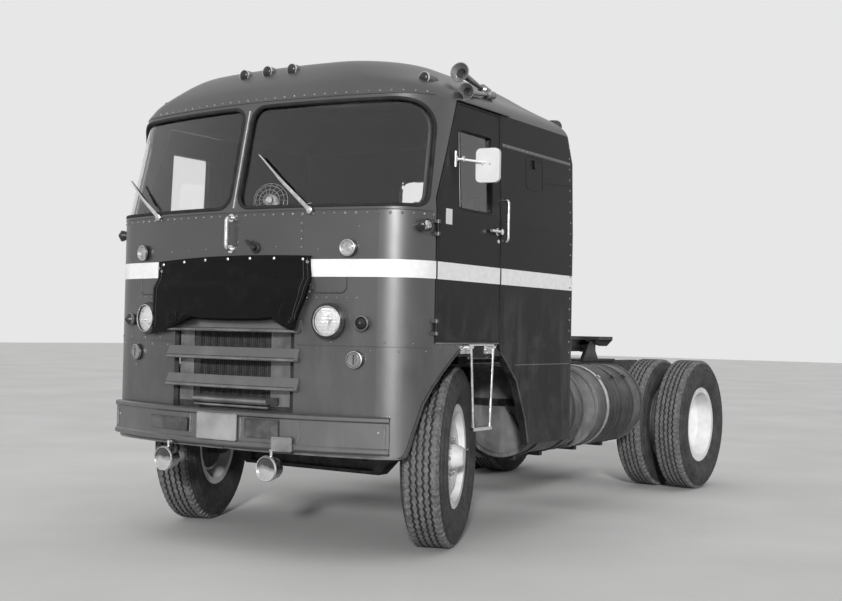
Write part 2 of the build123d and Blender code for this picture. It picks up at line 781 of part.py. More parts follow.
def rear_wheels():
    """Left dual disc wheels with hub and drum, about the axle's middle."""
    inner = REAR_TRACK_HALF - DUAL_SPACING / 2
    outer = REAR_TRACK_HALF + DUAL_SPACING / 2
    face = REAR_TRACK_HALF
    dishes = []
    for sign, rim in ((1, outer), (-1, inner)):
        bead = rim - sign * 30
        dishes.append([
            (face, 80), (face, 165), (face + sign * 14, 205), (face + sign * 50, 248),
            (bead, RIM_R - 6), (bead + sign * 16, RIM_R - 6), (face + sign * 66, 240),
            (face + sign * 26, 198), (face + sign * 12, 160), (face + sign * 12, 80),
        ])
    hub = [
        (face - 190, AXLE_TUBE_R - 20), (face - 190, 92), (face - 30, 92), (face - 22, 120), (face + 20, 120),
        (face + 30, 84), (face + 92, 78), (face + 100, 62), (face + 100, 0), (face + 88, 0),
        (face + 88, AXLE_TUBE_R - 20),
    ]
    drum = [
        (face - 190, DRUM_R - 16), (face - 190, DRUM_R), (face - 14, DRUM_R), (face - 12, 170), (face - 12, 110),
        (face - 26, 110), (face - 30, DRUM_R - 16),
    ]
    return turned(rim_points(outer), rim_points(inner), dishes[0], dishes[1], hub, drum)


SPINDLE_REAR_R = AXLE_TUBE_R - 20 - SPINDLE_GAP


def rear_axle():
    """Banjo housing with its bowl, tubes and spindles, spring seats and pinion nose."""
    end = REAR_TRACK_HALF - 195
    tip = REAR_TRACK_HALF + 60
    half = turned([
        (0, 0), (tip, 0), (tip, SPINDLE_REAR_R), (end, SPINDLE_REAR_R), (end, 118), (end - 12, 118),
        (end - 12, 72), (560, AXLE_TUBE_R + 6), (250, 84), (150, 140), (70, 190), (0, 196),
    ])
    housing = half + mirror(half, about=Plane.YZ)
    nose = rod(88, (0, 0, 0), (0, -300, 0)) + rod(58, (0, -300, 0), (0, -PINION_REACH, 0))
    housing = housing + nose
    for side in (-1, 1):
        x = side * SPRING_X
        housing = housing + block(x - 50, x + 50, -75, 75, 40, 96)
    return Pos(0, REAR_AXLE_Y, AXLE_Z) * housing


ENGINE = (-290.0, 290.0, -560.0, 330.0, 640.0, 1540.0)
GEARBOX_REAR = 884.0
PINION_REACH = 352.0


def drive_shaft():
    """Tubular shaft from the gearbox to the axle's pinion, with its joints."""
    start = Vector(0, GEARBOX_REAR + 8, 800)
    end = Vector(0, REAR_AXLE_Y - PINION_REACH - 8, AXLE_Z)
    heading = (end - start).normalized()
    shaft = rod(45, start, end)
    shaft = shaft + rod(60, start, start + heading * 60)
    shaft = shaft + rod(60, end - heading * 80, end)
    gearbox_flange = rod(30, (0, GEARBOX_REAR, 800), (0, GEARBOX_REAR + 20, 800))
    pinion_flange = rod(30, (0, REAR_AXLE_Y - PINION_REACH - 20, AXLE_Z), (0, REAR_AXLE_Y - PINION_REACH, AXLE_Z))
    return shaft + gearbox_flange + pinion_flange


def engine_block():
    """One plain block for the engine, with the gearbox behind it."""
    body = block(*ENGINE)
    gearbox = block(-180, 180, ENGINE[3], GEARBOX_REAR, 690, 1040)
    return body + gearbox


def radiator():
    """Core with its top and bottom tanks and the side plates beside it."""
    front = FRAME_FRONT - 55
    back = FRAME_FRONT - 10
    half = RADIATOR_HALF
    high = GRILLE_HIGH + 50
    core = block(-half, half, front, back, GRILLE_LOW, high)
    top = block(-half - 20, half + 20, front - 10, back + 20, high, high + 60)
    low = block(-half - 20, half + 20, front - 10, back + 20, GRILLE_LOW - 70, GRILLE_LOW)
    body = core + top + low
    plate = block(half - 60, half + 110, front - 13, front, GRILLE_LOW - 10, high - 10)
    foot = block(RAIL_OUTER_X - RAIL_FLANGE, RAIL_OUTER_X, back - 20, FRAME_FRONT,
                 FRAME_TOP - 200, FRAME_TOP - 40)
    for piece in both_sides(plate) + both_sides(foot):
        body = body + piece
    shelf = block(30 - half, half - 30, front - 40, back - 20, GRILLE_LOW + 58, GRILLE_LOW + 100)
    return body + shelf


# Tank table: first end, last end along Y
TANKS = [(860.0, 1560.0), (1790.0, 2640.0)]
TANK_BANDS = [(0.22, 46.0), (0.78, 46.0)]


def tank(y0, y1):
    """One round tank with rolled end rims and two strap bands."""
    body = rod(TANK_R, (TANK_X, y0, TANK_Z), (TANK_X, y1, TANK_Z))
    for y in (y0, y1):
        inward = 18 if y == y0 else -18
        body = body + rod(TANK_R + 8, (TANK_X, y, TANK_Z), (TANK_X, y + inward, TANK_Z))
    for y, sign in ((y0, -1), (y1, 1)):
        recess = rod(TANK_R - 14, (TANK_X, y, TANK_Z), (TANK_X, y - sign * 16, TANK_Z))
        body = body - recess
    for share, width in TANK_BANDS:
        y = y0 + share * (y1 - y0)
        body = body + rod(TANK_R + 6, (TANK_X, y - width / 2, TANK_Z), (TANK_X, y + width / 2, TANK_Z))
    return body


def tank_brackets():
    """J-shaped brackets that reach out from the rails under each band."""
    out = []
    for y0, y1 in TANKS:
        for share, width in TANK_BANDS:
            y = y0 + share * (y1 - y0)
            outline = [
                (RAIL_OUTER_X, 840), (RAIL_OUTER_X, 1060), (RAIL_OUTER_X + 70, 1060),
                (RAIL_OUTER_X + 70, 520), (TANK_X + 40, 470), (TANK_X + 40, 430),
                (RAIL_OUTER_X + 50, 430), (RAIL_OUTER_X, 500),
            ]
            piece = front_prism(outline, y - width / 2, y + width / 2)
            clear = rod(TANK_R + 6.3, (TANK_X, y - 80, TANK_Z), (TANK_X, y + 80, TANK_Z))
            piece = piece - clear
            out += both_sides(piece)
    return out


def bumper():
    """A bowed pressed channel with a rolled bead along its top and bottom."""
    f = BUMPER_FRONT
    low = BUMPER_LOW
    high = BUMPER_HIGH
    back = f + BUMPER_DEPTH
    w = BUMPER_WALL
    outline = [
        (back, low), (f + 14, low), (f + 2, low + 8), (f + 2, low + 26), (f + 12, low + 36),
        (f + 12, high - 36), (f + 2, high - 26), (f + 2, high - 8), (f + 14, high), (back, high),
        (back, high - w), (f + 16, high - w), (f + 12, high - 14), (f + 12, high - 24),
        (f + 12 + w, high - 36), (f + 12 + w, low + 36), (f + 12, low + 24), (f + 12, low + 14),
        (f + 16, low + w), (back, low + w),
    ]
    angle = math.degrees(math.asin(BUMPER_HALF / BUMPER_BOW_R))
    bar = about_post(outline, f + BUMPER_BOW_R, angle)
    for iron in bumper_irons(0.0):
        bar = bar + iron
    return bar


def bumper_irons(gap):
    """The two cranked irons that carry the bumper on the rails' webs, larger by gap."""
    x1 = RAIL_OUTER_X - RAIL_THICK
    x0 = x1 - IRON_THICK
    outline = [
        (BUMPER_FRONT + 44, IRON_LOW - gap), (FRAME_FRONT + 20, IRON_LOW - gap),
        (FRAME_FRONT + IRON_REACH, IRON_HIGH + 60), (FRAME_FRONT + IRON_REACH, FRAME_TOP - 60),
        (FRAME_FRONT + 10, FRAME_TOP - 60), (FRAME_FRONT + 10, IRON_HIGH + gap),
        (BUMPER_FRONT + 44, IRON_HIGH + gap),
    ]
    return both_sides(side_prism(outline, x0 - gap, x1 + gap))


# Grille bars: middle height of each
GRILLE_BARS_Z = [986.0, 1154.0, 1320.0, 1486.0]
BAR_FRONT = CAB_FRONT - 36.0


def grille_bars():
    """Pressed bars that follow the nose's bow, each with a thick lower lip."""
    out = []
    angle = math.degrees(math.asin(BAR_HALF / BOW_R))
    for z in GRILLE_BARS_Z:
        low = z - BAR_HEIGHT / 2
        high = z + BAR_HEIGHT / 2
        f = BAR_FRONT
        outline = [
            (f + 4, low), (f, low + 8), (f + 6, low + 22), (f + BAR_DEPTH - 9, high),
            (f + BAR_DEPTH, high), (f + BAR_DEPTH, low + 30), (f + 22, low),
        ]
        bar = about_post(outline, CAB_FRONT + BOW_R, angle)
        for x in (-400, 400):
            stay = block(x - 14, x + 14, CAB_FRONT + 10, FRAME_FRONT - 68, z - 10, z + 10)
            bar = bar + stay
        out.append(bar)
    return out


def winter_cover():
    """The canvas over the upper grille, as one thin bowed slab with a bulged foot."""
    f = CAB_FRONT - 12.0
    outline = [
        (f, 1712), (f - 8, 1700), (f - 34, 1640), (f - 40, 1420), (f - 52, 1330),
        (f - 30, 1282), (f - 26, 1350), (f - 28, 1560), (f + 11.7, 1690), (f + 11.7, 1712),
    ]
    angle = math.degrees(math.asin(594.0 / BOW_R))
    return about_post(outline, CAB_FRONT + BOW_R, angle)


def lamp(x, y, z, radius, depth, bezel, lens_bulge, heading=0.0):
    """A round lamp: can, bezel ring and domed lens, facing the front."""
    body = turned([
        (0, 0), (0, radius * 0.86), (-depth * 0.6, radius), (-depth, radius + bezel),
        (-depth - 8, radius + bezel), (-depth - 8, radius), (-depth - 8 - lens_bulge * 0.6, radius * 0.6),
        (-depth - 8 - lens_bulge, 0),
    ])
    aimed = Rot(0, 0, 90) * body
    return Pos(x, y, z) * Rot(0, 0, heading) * aimed


def corner_centre():
    """Middle of the left front corner's arc in plan."""
    x = CAB_HALF - CORNER_R
    reach = BOW_R - CORNER_R
    return x, CAB_FRONT + BOW_R - math.sqrt(reach * reach - x * x)


def nose_y(x):
    """The nose's outer face at a distance from the middle, round the corner too."""
    x = abs(x)
    corner_x, corner_y = corner_centre()
    touch = corner_x / (BOW_R - CORNER_R) * BOW_R
    if x <= touch:
        return CAB_FRONT + BOW_R - math.sqrt(BOW_R ** 2 - x ** 2)
    return corner_y - math.sqrt(CORNER_R ** 2 - (x - corner_x) ** 2)


def nose_heading(x):
    """Which way the nose faces there, in degrees about Z."""
    side = 1 if x > 0 else -1
    x = abs(x)
    corner_x = corner_centre()[0]
    touch = corner_x / (BOW_R - CORNER_R) * BOW_R
    if x <= touch:
        return side * math.degrees(math.asin(x / BOW_R))
    return side * math.degrees(math.asin((x - corner_x) / CORNER_R))


HEADLAMP_X = CAB_HALF - 493.0
HEADLAMP_Z = 1353.0


def headlamps():
    """Two round headlamps in dark bezels on the nose."""
    x = HEADLAMP_X
    one = lamp(x, nose_y(x) + 12, HEADLAMP_Z, 88, 46, 12, 14, nose_heading(x))
    return both_sides(one - OUTER[0]) + fog_lamps()


# Small lamps on the nose: across, height, radius, depth
SMALL_LAMPS = [(CAB_HALF - 393, 1767.0, 44.0, 10.0), (CAB_HALF - 341, 1139.0, 46.0, 4.0),
               (CAB_HALF - 296, 1344.0, 36.0, 26.0)]


CORNER_LAMP_X = CAB_HALF - 45.0
CORNER_LAMP_Z = 1900.0


def marker_lamps():
    """Round lamps and vents on the nose and the torpedo lamps on corners and roof."""
    out = []
    for x, z, radius, depth in SMALL_LAMPS:
        one = lamp(x, nose_y(x) + 10, z, radius, depth + 10, 5, 10, nose_heading(x))
        out += both_sides(one - OUTER[0])
    x = CORNER_LAMP_X
    corner = lamp(x, nose_y(x) + 12, CORNER_LAMP_Z, 30, 40, 3, 26, nose_heading(x))
    out += both_sides(corner - OUTER[0])
    return out + roof_lamps()


def torpedo(length, radius):
    """A bullet-shaped lamp lying along Y, its lens to the front."""
    points = [(0, 0), (0, radius), (length * 0.3, radius * 0.96), (length * 0.7, radius * 0.62),
              (length, 0)]
    return Rot(0, 0, 90) * revolve(flat(points), axis=Axis.X)


# Roof lamps: across, along, base height
BROW_Y = CAB_FRONT + 288.0
BROW_Z = HEADER_Z + 201.0
ROOF_LAMPS = [(0.0, BROW_Y, BROW_Z), (-190.0, BROW_Y + 4, BROW_Z - 4), (190.0, BROW_Y + 4, BROW_Z - 4),
              (CAB_HALF - 165, BROW_Y + 187, BROW_Z - 102), (165 - CAB_HALF, BROW_Y + 187, BROW_Z - 102)]
TORPEDO_LENGTH = 180.0
TORPEDO_R = 35.0


def roof_lamps():
    """Torpedo marker lamps on small plinths along the roof's brow."""
    out = []
    for x, y, z in ROOF_LAMPS:
        shell = Pos(x, y, z + 20) * torpedo(TORPEDO_LENGTH, TORPEDO_R)
        plinth = block(x - 22, x + 22, y + 8, y + 110, z - 60, z + 20)
        out.append((shell + plinth) - OUTER[2])
    return out


def fog_lamps():
    """Two chrome fog lamps hung below the bumper."""
    x = FOG_X
    z = BUMPER_LOW - 104
    one = lamp(x, FOG_FRONT + 96, z, 68, 70, 6, 12)
    post = rod(9, (x, FOG_FRONT + 60, z + 60), (x, FOG_FRONT + 60, BUMPER_LOW))
    pad = block(x - 22, x + 22, FOG_FRONT + 66, FOG_FRONT + 112, BUMPER_LOW - 8, BUMPER_LOW)
    return both_sides(one + post + pad)


def hand_rails():
    """The chrome handle on the nose and a grab rail behind each door."""
    y0 = CAB_FRONT
    low = BELT_Z - 226
    high = BELT_Z - 41
    nose = tube_run(12, [(0, y0, high), (0, y0 - 48, high), (0, y0 - 48, low), (0, y0, low)], 24)
    for z in (low, high):
        nose = nose + rod(24, (0, y0 + 5, z), (0, y0 - 8, z))
    out = [nose - OUTER[0]]
    x = CAB_HALF
    y = PILLAR + 16
    rail = tube_run(9, [(x - 30, y, 2128), (x + 32, y, 2128), (x + 32, y, 1872), (x - 30, y, 1872)], 20)
    out += both_sides(rail - OUTER[0] - OUTER[1])
    return out


STEP_X = CAB_HALF + 27.0
STEP_FRONT = -254.0
STEP_REAR = 8.0
STEP_TUBE_R = 8.5


def ladder_steps():
    """Two thin tubes hung under each door, joined by a tread."""
    top = DOOR_LOW - 30
    low = DOOR_LOW - 510
    front = rod(STEP_TUBE_R, (STEP_X, STEP_FRONT, top), (STEP_X, STEP_FRONT + 42, low))
    rear = rod(STEP_TUBE_R, (STEP_X, STEP_REAR, top), (STEP_X, STEP_REAR - 26, low))
    tread = block(STEP_X - 22, STEP_X + 11, STEP_FRONT + 30, STEP_REAR - 14, low - 13, low + 7)
    body = front + rear + tread
    for y in (STEP_FRONT, STEP_REAR):
        body = body + block(STEP_X - 24, STEP_X + 11, y - 16, y + 16, top - 4, top + 12)
    hook = block(CAB_HALF - CAB_WALL, STEP_X, STEP_FRONT - 16, STEP_REAR + 16, top + 12, top + 20)
    body = body + hook
    return both_sides(body)


MIRROR_Y = -392.0
MIRROR_Z = 2318.0
MIRROR_WIDTH = 148.0
MIRROR_HEIGHT = 200.0


def mirror_head(side):
    """A rectangular mirror on a straight arm from the door's front edge."""
    head_x = CAB_HALF + 137
    head_y = MIRROR_Y + 107
    face = RectangleRounded(MIRROR_WIDTH, MIRROR_HEIGHT, 30)
    head = extrude(Plane.XZ * face, 26)
    head = Pos(head_x, head_y + 13, MIRROR_Z - 36) * Rot(0, 0, 8) * head
    arm = rod(7, (CAB_HALF - 20, MIRROR_Y, MIRROR_Z), (head_x, head_y - 6, MIRROR_Z - 20))
    foot = rod(16, (CAB_HALF - 42, MIRROR_Y - 8, MIRROR_Z), (CAB_HALF - 8, MIRROR_Y, MIRROR_Z))
    body = head + arm + foot
    body = body - OUTER[1]
    return body if side > 0 else mirror(body, about=Plane.YZ)


def wipers():
    """Two wipers pivoted under the glass, parked towards the middle post."""
    out = []
    lean = (CAB_SECTIONS[0][1] - CAB_FRONT) / (HEADER_Z - BELT_Z)
    for px, tip_x in ((560.0, 150.0), (-652.0, -1010.0)):
        y0 = nose_y(px) - 12
        pivot = rod(14, (px, y0 + 14, 1985), (px, y0 - 10, 1985))
        tip_z = 2330.0 if tip_x > 0 else 2240.0
        tip_y = nose_y(min(abs(tip_x), 900)) + lean * (tip_z - BELT_Z) - 16
        mid = ((px + tip_x) / 2, (y0 + tip_y) / 2 - 14, (1985 + tip_z) / 2)
        arm = rod(6, (px, y0 - 4, 1985), mid)
        blade = rod(5, mid, (tip_x, tip_y, tip_z))
        out.append((pivot + arm + blade) - OUTER[0] - OUTER[1])
    return out


# Horn table: bell's middle, tail's middle, bell radius
HORNS = [((CAB_HALF - 123, -200.0, HEADER_Z + 211), (CAB_HALF - 165, 215.0, HEADER_Z + 162), 60.0),
         ((CAB_HALF - 15, -300.0, HEADER_Z + 65), (CAB_HALF - 103, 178.0, HEADER_Z + 132), 50.0)]


def air_horns():
    """Two trumpets side by side over the left door, on one bracket."""
    body = None
    for bell, tail, radius in HORNS:
        heading = Vector(*tail) - Vector(*bell)
        length = heading.length
        outline = [(0, 84), (radius * 0.24, 84), (radius * 0.5, 24), (radius - 5, 0), (radius, 0),
                   (radius, 6), (radius * 0.62, 26), (radius * 0.36, 90),
                   (radius * 0.2, length * 0.78), (radius * 0.5, length * 0.8), (radius * 0.5, length),
                   (0, length)]
        trumpet = revolve(Plane.XZ * flat(outline), axis=Axis.Z)
        trumpet = Plane(origin=bell, z_dir=heading).location * trumpet
        body = trumpet if body is None else body + trumpet
    x = CAB_HALF - 183
    post = block(x, x + 32, 176, 208, HEADER_Z + 77, HEADER_Z + 163)
    arm = block(x, x + 88, 150, 182, HEADER_Z + 117, HEADER_Z + 143)
    return (body + post + arm) - OUTER[2]


STACK_R = 48.0
STACK_X = CAB_HALF - 270.0
STACK_Y = CAB_REAR + 74.0


def exhaust_stack():
    """The pipe up the cab's back, with its outlet turned to the rear."""
    top = HEADER_Z + 115
    path = [(200, STACK_Y, 960), (200, STACK_Y, 1180), (STACK_X, STACK_Y, 1180),
            (STACK_X, STACK_Y, top), (STACK_X, STACK_Y + 128, top + 18)]
    pipe = tube_run(STACK_R, path, 76)
    for z in (1500, 2300):
        pipe = pipe + block(STACK_X - 60, STACK_X + 60, CAB_REAR, STACK_Y, z - 20, z + 20)
    pipe = pipe + block(160, 240, STACK_Y - 40, STACK_Y + 40, 960, 1000)
    return pipe + block(240, RAIL_OUTER_X - RAIL_THICK, STACK_Y - 30, STACK_Y + 30, 966, 986)


def seats():
    """Driver's and passenger's seats: base, cushion and back."""
    x = 640.0
    base = block(x - 200, x + 200, -60, 360, FLOOR_TOP, 1500)
    cushion = block(x - 240, x + 240, -140, 380, 1500, 1620)
    cushion = fillet(cushion.edges(), 40)
    back = side_prism([(300, 1600), (400, 1600), (470, 2180), (390, 2180)], x - 235, x + 235)
    back = fillet(back.edges().filter_by(Axis.X), 30)
    seat = base + cushion + back
    return both_sides(seat)


WHEEL_X = 600.0


def dash():
    """The dash across the nose, the steering column and its three-spoke wheel."""
    panel = side_prism([(-760, 1640), (-760, 1960), (-690, 1960), (-640, 1900), (-660, 1760), (-740, 1640)],
                       115 - CAB_HALF, CAB_HALF - 115)
    inside = extrude(base_face(1500, CAB_WALL), 500)
    panel = panel & inside
    column = rod(26, (WHEEL_X, -640, FLOOR_TOP + 30), (WHEEL_X, -410, 1925))
    column = column + block(WHEEL_X - 60, WHEEL_X + 60, -700, -580, FLOOR_TOP, FLOOR_TOP + 40)
    plane = Plane(origin=(WHEEL_X, -410, 1930), z_dir=(0, 0.45, 1))
    rim = plane.location * Torus(262, 12)
    body = column + (plane.location * Cylinder(50, 30)) + rim
    for angle in (90, 210, 330):
        spoke = plane.location * Rot(0, 0, angle) * Pos(131, 0, 0) * Box(250, 20, 8)
        body = body + spoke
    return [panel - rod(40, (WHEEL_X, -640, FLOOR_TOP), (WHEEL_X, -410, 1925)), body]


BUNK_Z = 1700.0


def bunk():
    """The sleeper's mattress on its shelf."""
    half = CAB_HALF - 95
    shelf = block(-half, half, 560, CAB_REAR - CAB_WALL, BUNK_Z, BUNK_Z + 30)
    mattress = block(5 - half, half - 5, 575, CAB_REAR - 115, BUNK_Z + 30, BUNK_Z + 150)
    mattress = fillet(mattress.edges(), 35)
    return shelf + mattress


def fifth_plate():
    """The rocking top plate with its throat, jaw bore and deep ribs."""
    r = FIFTH_R
    thick = FIFTH_THICK
    bend = KINGPIN_Y + 250
    tail = KINGPIN_Y + 420
    disc = Pos(0, KINGPIN_Y, FIFTH_TOP - thick / 2) * Cylinder(r, thick)
    disc = disc & block(-r, r, KINGPIN_Y - r, bend, FIFTH_TOP - thick, FIFTH_TOP)
    wings = Pos(0, KINGPIN_Y, FIFTH_TOP - 160) * extrude(
        flat([(-r, 0), (-r, 250), (-330, 420), (-250, 420), (0, 60), (250, 420), (330, 420), (r, 250), (r, 0)]), 160)
    profile = side_prism(
        [(KINGPIN_Y, FIFTH_TOP - thick), (bend, FIFTH_TOP - thick), (tail, FIFTH_TOP - RAMP_DROP - thick),
         (tail, FIFTH_TOP - RAMP_DROP), (bend, FIFTH_TOP), (KINGPIN_Y, FIFTH_TOP)],
        -r, r,
    )
    plate = disc + (wings & profile)
    skirt = block(-300, -270, KINGPIN_Y - 330, bend - 6, TRUNNION_Z - 46, FIFTH_TOP - 20)
    plate = plate + skirt + mirror(skirt, about=Plane.YZ)
    for y in (KINGPIN_Y - 260, KINGPIN_Y - 120):
        plate = plate + block(-290, 290, y - 12, y + 12, TRUNNION_Z - 10, FIFTH_TOP - 20)
    collar = rod(70, (0, KINGPIN_Y, FIFTH_TOP - 70), (0, KINGPIN_Y, FIFTH_TOP - 20))
    plate = plate + collar
    for side in (-1, 1):
        lug = rod(52, (side * 270, KINGPIN_Y, TRUNNION_Z), (side * 330, KINGPIN_Y, TRUNNION_Z))
        plate = plate + lug
    throat = Pos(0, KINGPIN_Y, FIFTH_TOP - 90) * extrude(
        flat([(-JAW_R, 0), (-JAW_R, 40), (-250, 470), (250, 470), (JAW_R, 40), (JAW_R, 0)]), 120)
    bore = rod(JAW_R, (0, KINGPIN_Y, FIFTH_TOP - 100), (0, KINGPIN_Y, FIFTH_TOP + 20))
    pin_hole = rod(TRUNNION_R + PIN_CLEARANCE, (-500, KINGPIN_Y, TRUNNION_Z), (500, KINGPIN_Y, TRUNNION_Z))
    return plate - throat - bore - pin_hole


def fifth_base():
    """The mounting plate across the rails with two trunnion brackets and their pins."""
    base = block(-RAIL_OUTER_X - 20, RAIL_OUTER_X + 20, KINGPIN_Y - 330, KINGPIN_Y + 330, FRAME_TOP, FRAME_TOP + 16)
    for side in (-1, 1):
        outline = [(KINGPIN_Y - 150, FRAME_TOP + 16), (KINGPIN_Y + 150, FRAME_TOP + 16),
                   (KINGPIN_Y + 46, TRUNNION_Z + 20), (KINGPIN_Y + 20, TRUNNION_Z + 42),
                   (KINGPIN_Y - 20, TRUNNION_Z + 42), (KINGPIN_Y - 46, TRUNNION_Z + 20)]
        x0 = 338.0 if side > 0 else -368.0
        base = base + side_prism(outline, x0, x0 + 30)
        a = side * 262.0
        b = side * 368.0
        base = base + rod(TRUNNION_R, (a, KINGPIN_Y, TRUNNION_Z), (b, KINGPIN_Y, TRUNNION_Z))
    return base


FRAME = frame()
for bracket in tank_brackets():
    FRAME = FRAME + bracket
keep("frame_rails", FRAME)
keep("front_axle", front_axle())
keep("leaf_springs", springs(FRONT_AXLE_Y, AXLE_Z - 25, 500.0, FRONT_LEAVES, 60.0)
     + springs(REAR_AXLE_Y, AXLE_Z + 96, 620.0, REAR_LEAVES, 26.0))
keep("knuckle_left", steered(1, knuckle()))
keep("knuckle_right", steered(-1, knuckle()))
keep("wheel_front_left", steered(1, front_wheel()))
keep("wheel_front_right", steered(-1, front_wheel()))
keep("tyre_front_left", steered(1, tyre(FRONT_TRACK_HALF - KINGPIN_X)))
keep("tyre_front_right", steered(-1, tyre(FRONT_TRACK_HALF - KINGPIN_X)))
keep("rear_axle", rear_axle())
REAR_PLACE = Pos(0, REAR_AXLE_Y, AXLE_Z)
DUALS = REAR_PLACE * rear_wheels()
keep("wheels_rear_left", DUALS)
keep("wheels_rear_right", mirror(DUALS, about=Plane.YZ))
DUAL_TYRES = [REAR_PLACE * tyre(REAR_TRACK_HALF + s * DUAL_SPACING / 2) for s in (-1, 1)]
keep("tyres_rear_left", DUAL_TYRES)
keep("tyres_rear_right", [mirror(t, about=Plane.YZ) for t in DUAL_TYRES])
keep("drive_shaft", drive_shaft())
keep("engine_block", engine_block())
keep("radiator", radiator())
ALL_TANKS = []
for first_end, last_end in TANKS:
    ALL_TANKS += both_sides(tank(first_end, last_end))
keep("fuel_tanks", ALL_TANKS)
keep("bumper", bumper())
keep("headlamps", headlamps())
keep("marker_lamps", marker_lamps())
keep("front_panel", cab_front_panel())
keep("grille_bars", grille_bars())
keep("winter_cover", winter_cover())
keep("windshield_frame", windshield_frame())
keep("windshield_glass", windshield_glass())
keep("roof", roof())
keep("side_left", cab_side(1))
keep("side_right", cab_side(-1))
keep("rear_wall", rear_wall())
keep("cab_floor", cab_floor())
keep("door_left", door(1))
keep("door_right", door(-1))
keep("door_glass_left", door_glass(1))
keep("door_glass_right", door_glass(-1))
keep("mirror_left", mirror_head(1))
keep("mirror_right", mirror_head(-1))
keep("steps_and_rails", hand_rails() + ladder_steps())
keep("wipers", wipers())
keep("air_horns", air_horns())
keep("exhaust_stack", exhaust_stack())
keep("seats", seats())
keep("dash", dash())
keep("bunk", bunk())
keep("fifth_wheel_base", fifth_base())
keep("fifth_wheel_plate", fifth_plate())
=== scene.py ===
import json
import math

import bmesh
import bpy
from mathutils import Matrix, Vector, noise
from mathutils.bvhtree import BVHTree


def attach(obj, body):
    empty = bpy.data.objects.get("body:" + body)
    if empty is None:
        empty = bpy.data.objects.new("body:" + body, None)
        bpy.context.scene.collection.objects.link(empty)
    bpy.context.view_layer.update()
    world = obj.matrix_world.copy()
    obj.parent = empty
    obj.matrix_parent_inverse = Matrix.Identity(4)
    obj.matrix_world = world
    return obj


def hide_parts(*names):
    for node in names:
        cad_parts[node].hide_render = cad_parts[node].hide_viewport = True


# The frame, and how places are written
# X points to the truck's left, Y to its rear and Z up, in metres. The places in
# this script are in millimetres, and their Y starts at the cab's datum line.

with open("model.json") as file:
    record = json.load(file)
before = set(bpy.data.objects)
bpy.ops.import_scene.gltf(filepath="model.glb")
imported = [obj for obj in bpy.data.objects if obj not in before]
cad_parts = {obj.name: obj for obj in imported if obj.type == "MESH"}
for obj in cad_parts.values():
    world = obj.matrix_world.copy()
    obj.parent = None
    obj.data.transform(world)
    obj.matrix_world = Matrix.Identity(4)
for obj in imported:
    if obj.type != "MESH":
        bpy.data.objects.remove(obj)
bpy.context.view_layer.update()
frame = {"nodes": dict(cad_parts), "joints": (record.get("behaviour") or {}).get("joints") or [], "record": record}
NODES = frame["nodes"]

DATUM_Y = 1645.0
CAB_FRONT = -1000.0
CAB_HALF = 1195.0
BOW_R = 3700.0
DOOR_FRONT = -612.0
DOOR_REAR = 141.0
DOOR_LOW = 1245.0
DOOR_HIGH = 2655.0
DOOR_RAKE_START = 2067.0
DOOR_TOP_FRONT = -375.0
STRIPE_LOW = 1605.0
STRIPE_HIGH = 1705.0


def mm(x, y, z):
    """A point from millimetres and the cab's datum, as a vector of the frame."""
    return Vector((x / 1000, (y - DATUM_Y) / 1000, z / 1000))

FORWARD = Vector((0, -1, 0))
REARWARD = Vector((0, 1, 0))
SIDES = ((1, "left"), (-1, "right"))


def link(name, data):
    """A new object of the scene."""
    obj = bpy.data.objects.new(name, data)
    bpy.context.scene.collection.objects.link(obj)
    return obj


# Camera

CAMERA_PLACE = (4825.2, -6360.3, 1309.6)
CAMERA_YAW = 0.5754
CAMERA_PITCH = 0.0251
CAMERA_ROLL = 0.0204
LENS = 51.39
SENSOR_WIDTH = 36.0
FARTHEST_SEEN = 200.0


def make_camera():
    """The photograph's viewpoint, found by fitting the truck's known shapes."""
    data = bpy.data.cameras.new("viewpoint")
    data.lens = LENS
    data.sensor_width = SENSOR_WIDTH
    data.clip_end = FARTHEST_SEEN
    camera = link("viewpoint", data)
    turn = Matrix.Rotation(CAMERA_YAW, 4, "Z")
    tilt = Matrix.Rotation(math.pi / 2 + CAMERA_PITCH, 4, "X")
    roll = Matrix.Rotation(CAMERA_ROLL, 4, "Z")
    camera.matrix_world = Matrix.Translation(mm(*CAMERA_PLACE)) @ turn @ tilt @ roll
    bpy.context.scene.camera = camera


make_camera()


# Shapes gathered from many small bits

class Shape:
    """Vertices and faces that become one piece."""

    def __init__(self):
        self.verts = []
        self.faces = []

    def add(self, verts, faces):
        base = len(self.verts)
        self.verts.extend(tuple(v) for v in verts)
        self.faces.extend(tuple(base + i for i in face) for face in faces)

    def grid(self, rows, around=False, along=False):
        """Quads between rows of points, closed round each row or from last to first."""
        width = len(rows[0])
        faces = []
        for r in range(len(rows) if along else len(rows) - 1):
            here = r * width
            ahead = (r + 1) % len(rows) * width
            for c in range(width if around else width - 1):
                side = (c + 1) % width
                faces.append((here + c, here + side, ahead + side, ahead + c))
        self.add([p for row in rows for p in row], faces)

    def lid(self, ring):
        """One face that fills a ring of points."""
        self.add(ring, [tuple(range(len(ring)))])

    def cap(self, rows):
        """Faces that close both ends of a run of rings."""
        self.add(rows[0], [tuple(reversed(range(len(rows[0]))))])
        self.lid(rows[-1])


def piece(name, shape, material, body="chassis", sharp=38.0):
    """A mesh object from a shape, with its finish and body."""
    mesh = bpy.data.meshes.new(name)
    mesh.from_pydata(shape.verts, [], shape.faces)
    mesh.materials.append(material)
    mesh.polygons.foreach_set("use_smooth", [True] * len(mesh.polygons))
    mesh.set_sharp_from_angle(angle=math.radians(sharp))
    obj = link(name, mesh)
    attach(obj, body)
    return obj


def upright(normal):
    """A rotation whose Z is the normal."""
    return Vector(normal).to_track_quat("Z", "Y").to_matrix().to_4x4()


def at(spot, normal=None):
    """A place at a spot, with its Z axis along the normal when one is given."""
    if normal is None:
        return Matrix.Translation(spot)
    return Matrix.Translation(spot) @ upright(normal)


